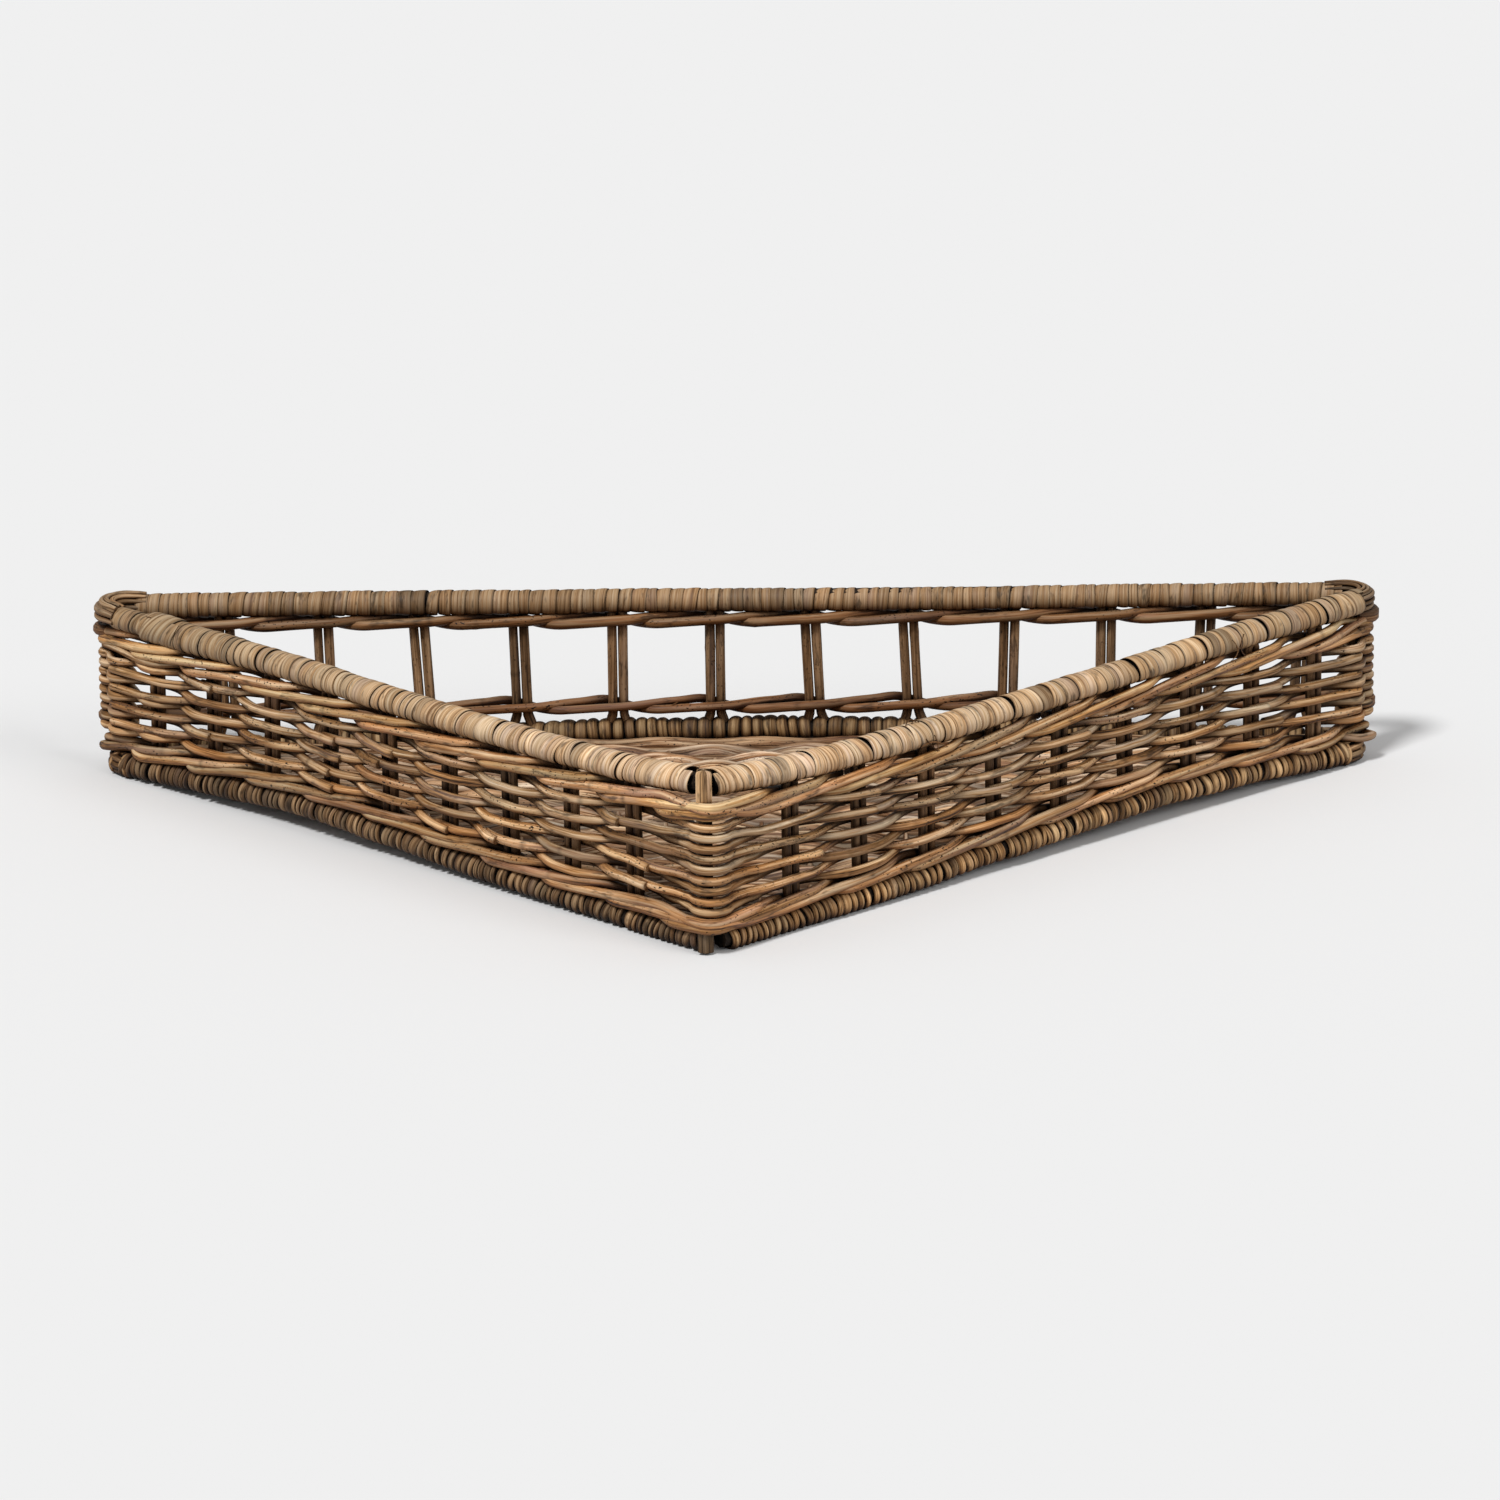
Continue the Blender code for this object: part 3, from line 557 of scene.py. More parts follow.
# The left leg's rim winding near its far corner, by the distance left to the sharp corner: first it sinks,
# then it swells and thins again, and a patch of a second winding lies over it
SINKS = (170 * MM, 110 * MM)
SINK_DEPTH = 1.1 * MM
SWELLS = (150 * MM, 120 * MM)
SWELL = 0.8 * MM
THINS = (62 * MM, 55 * MM)
THINNING = 1.92 * MM
PATCH_SPAN = (90 * MM, 60 * MM)
PATCH_LIFT = 0.6 * MM
TAPERS = (60 * MM, 0)            # the right leg's rim thins a little towards its far corner
TAPER = 0.5 * MM
NEAR_TONE = 1.2                  # of the legs' rims, which are darker and browner at their far ends: partly their own tone, partly painted shade as the light falls off towards the back
FAR_TONES = {"left": 0.46, "right": 0.64}
FAR_HUE_LOSS = (0, 0.04, 0.14)

OPEN_SWELLS = (330 * MM, 270 * MM)      # the open side's rim is thicker towards its start
OPEN_SWELL = 0.4 * MM
OPEN_RIM_TONE = (0.54, 0.495, 0.435)
OPEN_BASE_TONE = (0.78, 0.74, 0.64)
LEG_BASE_TONES = {"left": (0.76, 0.72, 0.68), "right": (1.34, 1.26, 1.1)}
# From the near corner to the first turn of each leg's upper and lower winding
WINDING_STARTS = {"left": (8.6 * MM, 4.2 * MM), "right": (-0.4 * MM, 8.5 * MM)}
SLIT_SHIFT = 1 * MM              # a slit lies this far past its pair


def leg_rim(side):
    """How a leg's rim winding changes along the wall: its level, its radius and its tone."""
    wall = WALLS[side]
    on_left = side == "left"

    def level(along):
        return wall.rim(along) - on_left * SINK_DEPTH * rising(wall.length - along, *SINKS)

    def radius(along):
        rest = wall.length - along
        if on_left:
            return SIDE_RIM_RADIUS + SWELL * rising(rest, *SWELLS) - THINNING * rising(rest, *THINS)
        return SIDE_RIM_RADIUS - TAPER * rising(rest, *TAPERS)

    def tone(along):
        # Painted shade, with the cane's own tone: the rim darkens from its near end to its far one
        share = (along / wall.length)[:, None]
        return (NEAR_TONE - (NEAR_TONE - FAR_TONES[side]) * share) * (1 - np.array(FAR_HUE_LOSS) * share)

    return level, radius, tone


def slits_of(wall):
    return [pair + SLIT_SHIFT for pair in wall.pairs]


def rails():
    for side, seed in (("left", 3), ("right", 5)):
        wall = WALLS[side]
        rim_start, base_start = WINDING_STARTS[side]
        level, radius, tone = leg_rim(side)
        skin = Skin("rim_winding_" + side, "rim_cane", seed)
        span = (rim_start, wall.length - bend_start(side, RIM_BEND))
        wound(skin, wall, span, level, radius, tone, slits_of(wall), **LEG_RIM)
        if side == "left":
            span = [wall.length - rest for rest in PATCH_SPAN]
            wound(skin, wall, span, level, lambda along: radius(along) + PATCH_LIFT, tone, **RIM_PATCH)
        skin.finish("rim_wrap_" + side)
        skin = Skin("base_winding_" + side, "base_cane", seed + 20)
        span = (base_start, wall.length - bend_start(side, BASE_BEND))
        wound(skin, wall, span, wall.base, steady(BASE_RADIUS), steady(LEG_BASE_TONES[side]), slits_of(wall),
              **LEG_BASE)
        skin.finish("base_wrap_" + side)
    wall = WALLS["open"]
    skin = Skin("rim_winding_open", "rim_cane", 9)
    span = (bend_start("left", RIM_BEND), wall.length - bend_start("right", RIM_BEND))
    wound(skin, wall, span, wall.rim,
          lambda along: OPEN_RIM_RADIUS + OPEN_SWELL * rising(along, *OPEN_SWELLS),
          steady(OPEN_RIM_TONE), slits_of(wall)[::2], **OPEN_RIM)
    skin.finish("rim_wrap_open")
    skin = Skin("base_winding_open", "base_cane", 11)
    span = (bend_start("left", BASE_BEND), wall.length - bend_start("right", BASE_BEND))
    wound(skin, wall, span, wall.base, steady(BASE_RADIUS), steady(OPEN_BASE_TONE), slits_of(wall),
          **OPEN_BASE)
    skin.finish("base_wrap_open")


# The rows of the woven walls
NEAR_RUN = POST_RADIUS + 2 * GAP
PASS_RUN = 6.5 * MM              # half of a row's straight run past a pair
FAR_RUN = 12 * MM                # a row is outside this far before a far post, then takes its own side of it
FIRST_ROW_DROP = 22.4 * MM       # from the rim's centre down to the first row
LAST_ROW_LIFT = 17.4 * MM        # from the base rail's centre up to the last row
FAR_SQUEEZE = 2.4 * MM           # rows crowd by this at the far posts, where the wales spread
FAR_STRETCH = (130 * MM, 30 * MM)        # over this much of the wall before its far post
WRAP_SLACK = 1.4 * MM            # rods stand this far off the far posts
WRAP_EASE = 0.5                  # the angle over which they come off and on again
WRAP_STEP = 0.22                 # and the one from point to point
LOOSE_STRETCHES = (30 * MM, 40 * MM)     # rows wander freely this far from the near and the far post
WAIST = 2.7 * MM                 # rows draw in by this beside the near post
WAIST_STARTS = (3 * MM, 11 * MM)
WAIST_ENDS = (32 * MM, 20 * MM)
ROW_WAVES = ((0.95 * MM, 35 * MM), (0.5 * MM, 110 * MM))     # a row's rise and fall: by how much, how long
BULGE_WAVE = (0.35 * MM, 20 * MM)        # and how it bulges in and out
CORNER_FADE = 0.93               # rows are darker round the near corner than on the left leg
RIGHT_FADE = 0.87                # and darker still on the right one
SPLICE_POINTS = 8                # a length's last points turn out and its first ones lie behind
SPLICE_RISE = 1.7 * MM
SPLICE_SAG = 0.5 * MM
SPLICE_SINK = 1.6 * MM
UNCUT_ENDS = 60                  # no cut lies this many points from a rod's ends
UNCUT_CORNER = 18                # or from its middle, by the near corner
CUT_SPACING = 30
TONES = (
    (0.94, 0.94, 0.94), (1.08, 1.02, 0.97), (0.76, 0.72, 0.68), (1.0, 0.90, 0.76), (0.86, 0.88, 0.90),
    (1.12, 0.96, 0.78), (0.70, 0.66, 0.60), (1.04, 1.04, 1.04), (0.92, 0.80, 0.66),
)


def plateau(side, along, side_at, reach, near_offset, far_offset):
    """The offset of a rod that passes each pair on its own side, with a smooth crossing between them."""
    wall = WALLS[side]
    post_place = POST_PLACES[side][0]
    places = [0.0, NEAR_RUN]
    offsets = [near_offset, near_offset]
    for index, pair in enumerate(wall.pairs):
        offset = side_at(index) * reach
        places += [pair - PASS_RUN, pair + PASS_RUN]
        offsets += [offset, offset]
    places = np.array(places + [post_place - FAR_RUN, post_place])
    offsets = np.array(offsets + [reach, far_offset])
    cell = np.clip(np.searchsorted(places, along, side="right") - 1, 0, len(places) - 2)
    share = (along - places[cell]) / (places[cell + 1] - places[cell])
    return offsets[cell] + (offsets[cell + 1] - offsets[cell]) * ease(share)


def far_share(side, along):
    """0 along most of a leg, growing to 1 at its far post."""
    return rising(POST_PLACES[side][0] - along, *FAR_STRETCH)


def row_height(side, along, row):
    squeeze = FAR_SQUEEZE * far_share(side, along)
    top = WALLS[side].rim(along) - FIRST_ROW_DROP - squeeze
    bottom = WALLS[side].base(along) + LAST_ROW_LIFT + squeeze
    return top + (bottom - top) * row / (ROWS - 1)


def near_arc(reach, heights):
    """Points round the outside of the near post, from the left wall to the right one."""
    first, last = (math.atan2(WALLS[side].out[1], WALLS[side].out[0]) for side in SIDES)
    if last < first:
        last += 2 * math.pi
    angles = np.linspace(first, last, 7)[1:-1]
    return np.stack((NEAR[0] + reach * np.cos(angles), NEAR[1] + reach * np.sin(angles),
                     np.interp(angles, (first, last), heights)), -1)


def post_wraps(side, reach, first, last, turns, slack):
    """A rod wound round a far post, from the outside of its wall to the inside: level outside it."""
    wall, post = WALLS[side], POSTS[side]
    sweep = np.pi * (2 * turns - 1)
    angle = np.linspace(0, sweep, int(sweep / WRAP_STEP))
    height = first + (last - first) * rising(angle, np.pi / 2, 3 * np.pi / 2)
    reach = reach + slack * rising(angle, 0, WRAP_EASE) * rising(sweep - angle, 0, WRAP_EASE)
    around = wall.out * np.cos(angle)[:, None] + wall.along * np.sin(angle)[:, None]
    return post + around * reach[:, None] + UP * height[:, None]


def pass_shade(offset, reach):
    """Rods are painted darker where they pass inside a wall, where shade falls: painted shade."""
    return 0.5 + 0.5 * ease(offset / reach + 0.75)


def spliced(skin, route, offsets, outward, cuts, tone, speck, fade):
    """A row laid in lengths: one ends outside with a cut end, and the next starts behind it."""
    bounds = [0, *cuts, len(route) - 1]
    for number, (first, last) in enumerate(zip(bounds, bounds[1:])):
        goes_on = number < len(bounds) - 2
        begin = max(first - 2, 0)
        end = min(last + 4, len(route)) if goes_on else len(route)
        points = route[begin:end].copy()
        steps = np.arange(len(points))
        if goes_on:
            rise = rising(steps, len(points) - 1 - SPLICE_POINTS, len(points) - 1)[:, None]
            points += outward[begin:end] * rise * SPLICE_RISE - UP * rise * SPLICE_SAG
        if number:
            points -= outward[begin:end] * rising(steps, SPLICE_POINTS - 1, 0)[:, None] * SPLICE_SINK
        shading = pass_shade(offsets[begin:end], WEAVER_RADIUS * 2) * fade[begin:end]
        skin.rod(points, WEAVER_RADIUS, tone, speck=speck, shading=shading)


# Short rods that fill the gaps by the far posts: their knots by distance past the last pair
PACKING_KNOTS = (-40 * MM, -17 * MM, -6 * MM, 6 * MM)
PACKING_TAIL = (22, 30)          # how far past the last pair they end, in millimetres
PACKING_POST_RUN = 2 * MM
PACKING_OVERRUN = 3 * MM
PACKING_CLEAR = 1.5 * MM         # one above the rows passes outside the post, this far off it
PACKING_RISE = 4.9 * MM


def packing_rod(skin, side, row, reach, rise=0.0):
    """A short rod by a far post: outside the last pair, with its end tucked in behind."""
    wall = WALLS[side]
    rng = skin.rng
    place, offset = POST_PLACES[side]
    last = wall.pairs[-1]
    start = place + (PACKING_OVERRUN if rise else -PACKING_OVERRUN)
    along = np.arange(start, last - rng.uniform(*PACKING_TAIL) * MM, -STATION)
    by_post = offset + (reach + PACKING_CLEAR if rise else -reach)
    knots = [last + knot for knot in PACKING_KNOTS] + [place - PACKING_POST_RUN, place]
    offsets = smoothed(np.interp(along, knots, (-reach, -reach * 0.7, reach, reach, by_post, by_post)), 2)
    height = row_height(side, along, row) + rng.uniform(0.3, 1.0) * MM
    height = height + 0.5 * MM * drift(along, 30 * MM, rng) + rise
    tone = np.array(TONES[rng.randint(len(TONES))]) * 0.9
    skin.rod(wall.at(along, offsets, height), WEAVER_RADIUS, tone, shading=pass_shade(offsets, reach))


def leg_row(side, row, reach, post_reach, rng):
    """A row along one leg, from the near corner out: its points, offsets and ways outward."""
    wall = WALLS[side]
    place, offset = POST_PLACES[side]
    phase = row % 2
    along = np.arange(0, place, STATION)
    offsets = plateau(side, along, lambda index: 1 if (SIDE_PAIRS - index + phase) % 2 == 0 else -1,
                      reach, post_reach, offset + (-post_reach if phase else post_reach))
    loose = rising(along, 0, LOOSE_STRETCHES[0]) * rising(place - along, 0, LOOSE_STRETCHES[1])
    height = row_height(side, along, row)
    for swing, wave in ROW_WAVES:
        height = height + loose * swing * drift(along, wave, rng)
    offsets = offsets + loose * BULGE_WAVE[0] * drift(along, BULGE_WAVE[1], rng)
    offsets = offsets - WAIST * rising(along, *WAIST_STARTS) * rising(along, *WAIST_ENDS)
    points = wall.at(along, offsets, height)
    return points, offsets, np.broadcast_to(wall.out, points.shape)


def weavers():
    """The rows, two to a strand that turns back round the far posts."""
    reach = STAKE_RADIUS + GAP + WEAVER_RADIUS
    post_reach = POST_RADIUS + GAP + WEAVER_RADIUS
    for strand in range((ROWS + 1) // 2):
        skin = Skin(f"weaver_{strand + 1}", "weaver", 40 + strand)
        rng = skin.rng
        rows = [row for row in (2 * strand, 2 * strand + 1) if row < ROWS]
        for row in rows:
            left = [values[::-1] for values in leg_row("left", row, reach, post_reach, rng)]
            right = leg_row("right", row, reach, post_reach, rng)
            arc = near_arc(post_reach, (left[0][-1][2], right[0][0][2]))
            arc_out = unit((arc - NEAR) * (1, 1, 0))
            parts = [(*left, 1.0), (arc, np.full(len(arc), post_reach), arc_out, CORNER_FADE),
                     (*right, RIGHT_FADE)]
            if row == rows[0]:
                turns = []
                for side in SIDES:
                    first, last = (row_height(side, POST_PLACES[side][0], end) for end in (row, rows[-1]))
                    turns.append(post_wraps(side, post_reach, first, last, 2, WRAP_SLACK))
                turns[0] = turns[0][::-1]
                ends = [(turn, np.full(len(turn), reach), np.zeros_like(turn), fade)
                        for turn, fade in zip(turns, (1.0, RIGHT_FADE))]
                parts = [ends[0], *parts, ends[1]]
            route, offsets, outward = (np.concatenate([part[item] for part in parts]) for item in range(3))
            fade = np.repeat([part[3] for part in parts], [len(part[0]) for part in parts])
            fit = np.flatnonzero(offsets > 0.9 * reach)
            fit = fit[(fit > UNCUT_ENDS) & (fit < len(route) - UNCUT_ENDS)]
            fit = fit[np.abs(fit - len(route) // 2) > UNCUT_CORNER]
            cuts = np.sort(rng.choice(fit, 3, replace=False))
            cuts = [int(cut) for cut, gap in zip(cuts, np.diff(cuts, prepend=0)) if gap > CUT_SPACING]
            tone = np.array(TONES[(row * 4 + 3 * strand) % len(TONES)])
            spliced(skin, route, offsets, outward, cuts, tone, float(rng.uniform(0, 1) > 0.45), fade)
        if strand % 2 == 0:
            packing_rod(skin, "left", rows[0], reach)
        if strand == 0:
            for side in SIDES:
                packing_rod(skin, side, 0, reach, PACKING_RISE)
        skin.finish(*[f"weaver_{side}_{strand + 1}" for side in SIDES])


# The wales of the legs, by band
WALE_SEEDS = {"upper": 70, "lower": 80}
UPPER_WALE_DROP = 13.3 * MM      # from the rim's centre
LOWER_WALE_LIFT = 10.2 * MM      # from the base rail's centre
FAR_WALE_DROP = 0.8 * MM         # the upper band lies this much lower at the far posts
WALE_CLIMBS = {"upper": 4.7 * MM, "lower": 3.4 * MM}
FAR_WALE_CLIMB = 0.9 * MM        # both climb this much more there
WALE_CROSSING = 0.62             # part of the way between two pairs in which a rod passes through the wall
WALE_WAVE = (0.5 * MM, 40 * MM)  # a rod's rise and fall: by how much, how long
WALE_DRAWN_IN = {"upper": 0, "lower": 3 * MM}                # how much closer they lie to the far posts
WALE_SLACK = {"upper": 0.9 * MM, "lower": -0.5 * MM}         # and how loosely they turn round them
WALE_TURN_RISE = 1.2 * MM
NEAR_WALE_RUN = (60 * MM, 15 * MM)       # rods come out of the wall over this much of it by the near post
FAR_WALE_RUN = (42 * MM, 2 * MM)         # and over this much before a far post
RAIL_CLEAR = BASE_RADIUS + WALE_RADIUS - GAP
CORNER_SWELL = 0.13              # rods are thicker round the near corner, over some points on both sides
CORNER_SWELL_POINTS = 40
SHORTEST_LENGTH = 12             # points
BAND_TONES = {"upper": (1.0, 1.0, 1.0), "lower": (0.86, 0.84, 0.88)}
BAND_SIDE_SHADES = {"upper": (1.03, 0.9), "lower": (1.0, 1.0)}       # on the left leg and on the right one


def clear_of_rail(offset, height, rail, outside):
    """The lower band's rods pushed out and up, so that they clear the base rail's winding."""
    rise = np.clip(height - rail, 0, None)
    beside = np.sqrt(np.clip(RAIL_CLEAR ** 2 - rise ** 2, 0, None))
    pushed = np.maximum(offset, beside * ease(2 * outside - 1))
    offset = smoothed(np.where(outside > 0.5, pushed, offset))
    above = np.sqrt(np.clip(RAIL_CLEAR ** 2 - offset ** 2, 0, None))
    return offset, smoothed(np.maximum(height, rail + above))


def leg_wales():
    """Three rods a band: each passes outside two pairs while it climbs, then drops inside one."""
    reach = STAKE_RADIUS + GAP + WALE_RADIUS
    post_reach = POST_RADIUS + GAP + WALE_RADIUS
    left, right = WALLS["left"], WALLS["right"]
    left_place, right_place = POST_PLACES["left"][0], POST_PLACES["right"][0]
    # Both legs are one line here, with negative places on the left leg
    stations = [-left_place, *(-pair for pair in left.pairs[::-1]), 0.0, *right.pairs, right_place]
    along = np.arange(-left_place, right_place, STATION)
    wall_along = np.abs(along)
    step = np.interp(along, stations, np.arange(len(stations)))
    rail = np.where(along < 0, left.base(wall_along), right.base(wall_along))
    rim = np.where(along < 0, left.rim(wall_along), right.rim(wall_along))
    far = np.where(along < 0, far_share("left", wall_along), far_share("right", wall_along))
    on_left, on_right = along < -0.5 * MM, along > 0.5 * MM
    for band, seed in WALE_SEEDS.items():
        skin = Skin(f"wale_{band}", "wale", seed)
        rng = skin.rng
        drawn_in = WALE_DRAWN_IN[band]
        level = rim - UPPER_WALE_DROP - FAR_WALE_DROP * far if band == "upper" else rail + LOWER_WALE_LIFT
        climb_reach = WALE_CLIMBS[band] + FAR_WALE_CLIMB * far
        for phase in range(3):
            cycle = (step + phase - 0.5) % 3
            within = np.where(cycle < 2, np.minimum(cycle, 2 - cycle), -np.minimum(cycle - 2, 3 - cycle))
            outside = ease(within / WALE_CROSSING + 0.5)
            climb = smoothed(np.where(cycle < 2, -1 + cycle, 1 - 2 * (cycle - 2)), 4)
            height = level + climb * climb_reach + WALE_WAVE[0] * drift(along, WALE_WAVE[1], rng)
            offset = reach * (2 * outside - 1)
            near_bend = rising(wall_along, *NEAR_WALE_RUN)
            offset = offset + near_bend * (np.maximum(offset, post_reach) - offset)
            for side, sign in (("left", -1), ("right", 1)):
                place, post_offset = POST_PLACES[side]
                by_post = rising(place - along * sign, *FAR_WALE_RUN)
                offset = offset + by_post * (post_offset + post_reach - drawn_in - offset)
            if band == "lower":
                offset, height = clear_of_rail(offset, height, rail, outside)
            left_points = left.at(-along[on_left], offset[on_left], height[on_left])
            right_points = right.at(along[on_right], offset[on_right], height[on_right])
            arc = near_arc(float(offset[on_left][-1]), (left_points[-1][2], right_points[0][2]))
            turns = []
            for side, first in (("left", left_points[0][2]), ("right", right_points[-1][2])):
                turns.append(post_wraps(side, post_reach - drawn_in, first, first + WALE_TURN_RISE, 1,
                                        WALE_SLACK[band]))
            route = np.concatenate((turns[0][::-1], left_points, arc, right_points, turns[1]))
            offsets = np.concatenate((np.full(len(turns[0]), reach), offset[on_left],
                                      np.full(len(arc), reach), offset[on_right],
                                      np.full(len(turns[1]), reach)))
            corner = len(turns[0]) + int(on_left.sum()) + len(arc) / 2
            past_corner = np.arange(len(route)) - corner
            radius = WALE_RADIUS * (1 + CORNER_SWELL * np.exp(-(past_corner / CORNER_SWELL_POINTS) ** 2))
            by_side = np.where(past_corner < 0, *BAND_SIDE_SHADES[band])
            hidden = np.flatnonzero(offsets < -0.8 * reach)
            hidden = hidden[(hidden > UNCUT_ENDS) & (hidden < len(route) - UNCUT_ENDS)]
            cuts = np.sort(rng.choice(hidden, 2, replace=False))
            bounds = [0, *cuts.tolist(), len(route)]
            for first, last in zip(bounds, bounds[1:]):
                if last - first < SHORTEST_LENGTH:
                    continue
                part = slice(first, last - 1)
                tone = rng.uniform(0.66, 1.12) * np.array((1, rng.uniform(0.96, 1.06), 1)) * BAND_TONES[band]
                skin.rod(route[part], radius[part], tone, sides=12, speck=float(rng.uniform(0, 1) > 0.5),
                         shading=pass_shade(offsets[part], reach) * by_side[part])
        skin.finish(f"wale_left_{band}", f"wale_right_{band}")


# A rod of the open side's wales, from one pair that it passes outside to the next: it comes in quickly,
# climbs on the inside past one pair, and leaves slowly behind the next rod
OPEN_PASS_CYCLE = (-1.0, -0.88, -0.62, 0.13, 0.46, 0.64, 0.88, 1.0)
OPEN_PASS_SHARES = (-1.0, -0.9, 1.0, 1.0, 0.1, 0.0, -0.9, -1.0)
OPEN_WALE_CLIMB = 2.7 * MM
OPEN_WALE_WAVE = (0.35 * MM, 50 * MM)
OPEN_POST_RUN = (40 * MM, 2 * MM)        # it comes out over this much of the wall to pass a far post
OPEN_TURN = math.radians(165)            # how far its ends turn round the post
OPEN_TURN_SINKS = (1.2, 2.8)             # and, over these angles, how far they draw in to it
OPEN_TURN_SINK = 5.2 * MM
OPEN_TURN_SHADE = 0.8
# By band: node, seed, lift above that node's middle, how far it lies off the far posts, radius, tone
OPEN_BANDS = {
    "upper": ("wale_open_upper_a", 90, 2.6 * MM, 11.2 * MM, WALE_RADIUS + 0.45 * MM, (0.37, 0.33, 0.31)),
    "lower": ("wale_open_lower_a", 95, 0.0, 10 * MM, WALE_RADIUS + 0.1 * MM, (0.36, 0.31, 0.30)),
}


def open_wales():
    """Two rods a band along the open side, one over the other, each pair held between them."""
    wall = WALLS["open"]
    reach = STAKE_RADIUS + GAP + WALE_RADIUS
    start, post_offset = wall.place_of(POSTS["left"])
    stop = wall.place_of(POSTS["right"])[0]
    stations = [start, *wall.pairs, stop]
    along = np.arange(start, stop, STATION)
    by_post = np.maximum(rising(along - start, *OPEN_POST_RUN), rising(stop - along, *OPEN_POST_RUN))
    angle = np.linspace(0, OPEN_TURN, 18)[1:]
    for band, (node, seed, lift, loop, radius, tone) in OPEN_BANDS.items():
        low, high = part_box(node)
        level = (low.z + high.z) / 2 + lift
        skin = Skin(f"wale_open_{band}", "wale", seed)
        rng = skin.rng
        for phase in range(2):
            cycle = (np.interp(along, stations, np.arange(len(stations))) + phase) % 2 - 1
            offset = smoothed(-reach * np.interp(cycle, OPEN_PASS_CYCLE, OPEN_PASS_SHARES), 2)
            climb = smoothed(np.interp(cycle, (-1, -0.86, 0.86, 1), (0, -1, 1, 0)), 3)
            height = level + OPEN_WALE_CLIMB * climb
            height = height + OPEN_WALE_WAVE[0] * drift(along, OPEN_WALE_WAVE[1], rng)
            # Painted shade: a rod is darker where it passes the pairs on the wall's outer side, behind them
            shading = 0.55 + 0.45 * ease(0.6 - offset / reach)
            offset = offset + by_post * (post_offset + loop - offset)
            points = wall.at(along, offset, height)
            turn_reach = (loop - OPEN_TURN_SINK * rising(angle, *OPEN_TURN_SINKS))[:, None]
            turns = []
            for side, sign, beside in (("left", -1, points[0]), ("right", 1, points[-1])):
                around = wall.out * np.cos(angle)[:, None] + wall.along * sign * np.sin(angle)[:, None]
                turns.append(POSTS[side] + around * turn_reach + UP * beside[2])
            route = np.concatenate((turns[0][::-1], points, turns[1]))
            shading = np.pad(shading, len(angle), constant_values=OPEN_TURN_SHADE)
            skin.rod(route, radius, np.array(tone) * rng.uniform(0.85, 1.15), speck=float(phase),
                     shading=shading)
        skin.finish(f"wale_open_{band}_a", f"wale_open_{band}_b")


CROWN_DEPTH = 4 * MM             # how far the bend of a pair sinks into the rim's winding
FOOT_DEPTH = 3.2 * MM            # and its feet into the base rail's
FOOT_SPREAD = 0.34               # how fast the feet spread below their knee
STAKE_KNOTS = 200 * MM
OPEN_LEANS = (3, 2, 4, 2, 0, 0, 3, 3, -2, -1, -3, -3)      # of each open pair, in millimetres over its height
OPEN_STAKE_RADIUS = STAKE_RADIUS + 0.32 * MM
OPEN_STAKE_SPREAD = STAKE_SPREAD + 0.15 * MM


def hairpin(wall, along, rim_radius, lean, rng, spread=STAKE_SPREAD, knee=0.0):
    """One rod folded double: its bend is under the rim, and its feet spread below the knee."""
    shoulder = float(wall.rim(along)) - rim_radius + CROWN_DEPTH - STAKE_RADIUS - STAKE_SPREAD
    foot = float(wall.base(along)) + BASE_RADIUS - FOOT_DEPTH
    heights = np.linspace(foot, shoulder, 26)
    legs = []
    for sense in (-1, 1):
        aside = spread * rng.uniform(0.95, 1.06) + FOOT_SPREAD * np.clip(knee - heights, 0, None)
        legs.append(np.stack((along + sense * aside, heights), -1))
    angle = np.linspace(np.pi, 0, 9)[1:-1]
    crown = np.stack((along + STAKE_SPREAD * np.cos(angle), shoulder + STAKE_SPREAD * np.sin(angle)), -1)
    outline = np.concatenate((legs[0], crown, legs[1][::-1]))
    share = (shoulder - outline[:, 1]) / (shoulder - foot)
    return wall.at(outline[:, 0] + lean * (share - 0.5), 0.0, outline[:, 1])


def stakes():
    for side, seed in (("left", 110), ("right", 120)):
        wall = WALLS[side]
        skin = Skin("stakes_" + side, "stake", seed)
        for pair in wall.pairs:
            lean = skin.rng.uniform(-2, 2) * MM
            route = hairpin(wall, pair, SIDE_RIM_RADIUS, lean, skin.rng)
            tone = np.array((0.8, 0.75, 0.7)) * skin.rng.uniform(0.75, 1.15)
            skin.rod(route, STAKE_RADIUS, tone, reference=wall.out, knots=STAKE_KNOTS, under=(0.9, 0.9, 0.9))
        skin.finish(*stake_nodes(side, SIDE_PAIRS))
    wall = WALLS["open"]
    skin = Skin("stakes_open", "stake", 130)
    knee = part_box("wale_open_lower_a")[0].z - GAP
    for pair, lean in zip(wall.pairs, OPEN_LEANS):
        route = hairpin(wall, pair, OPEN_RIM_RADIUS, lean * MM, skin.rng, OPEN_STAKE_SPREAD, knee)
        tone = np.array((0.9, 0.86, 0.82)) * skin.rng.uniform(0.75, 1.15)
        skin.rod(route, OPEN_STAKE_RADIUS, tone, reference=wall.out, knots=STAKE_KNOTS, speck=0.6,
                 under=(0.95, 0.95, 0.95))
    skin.finish(*stake_nodes("open", OPEN_PAIRS))


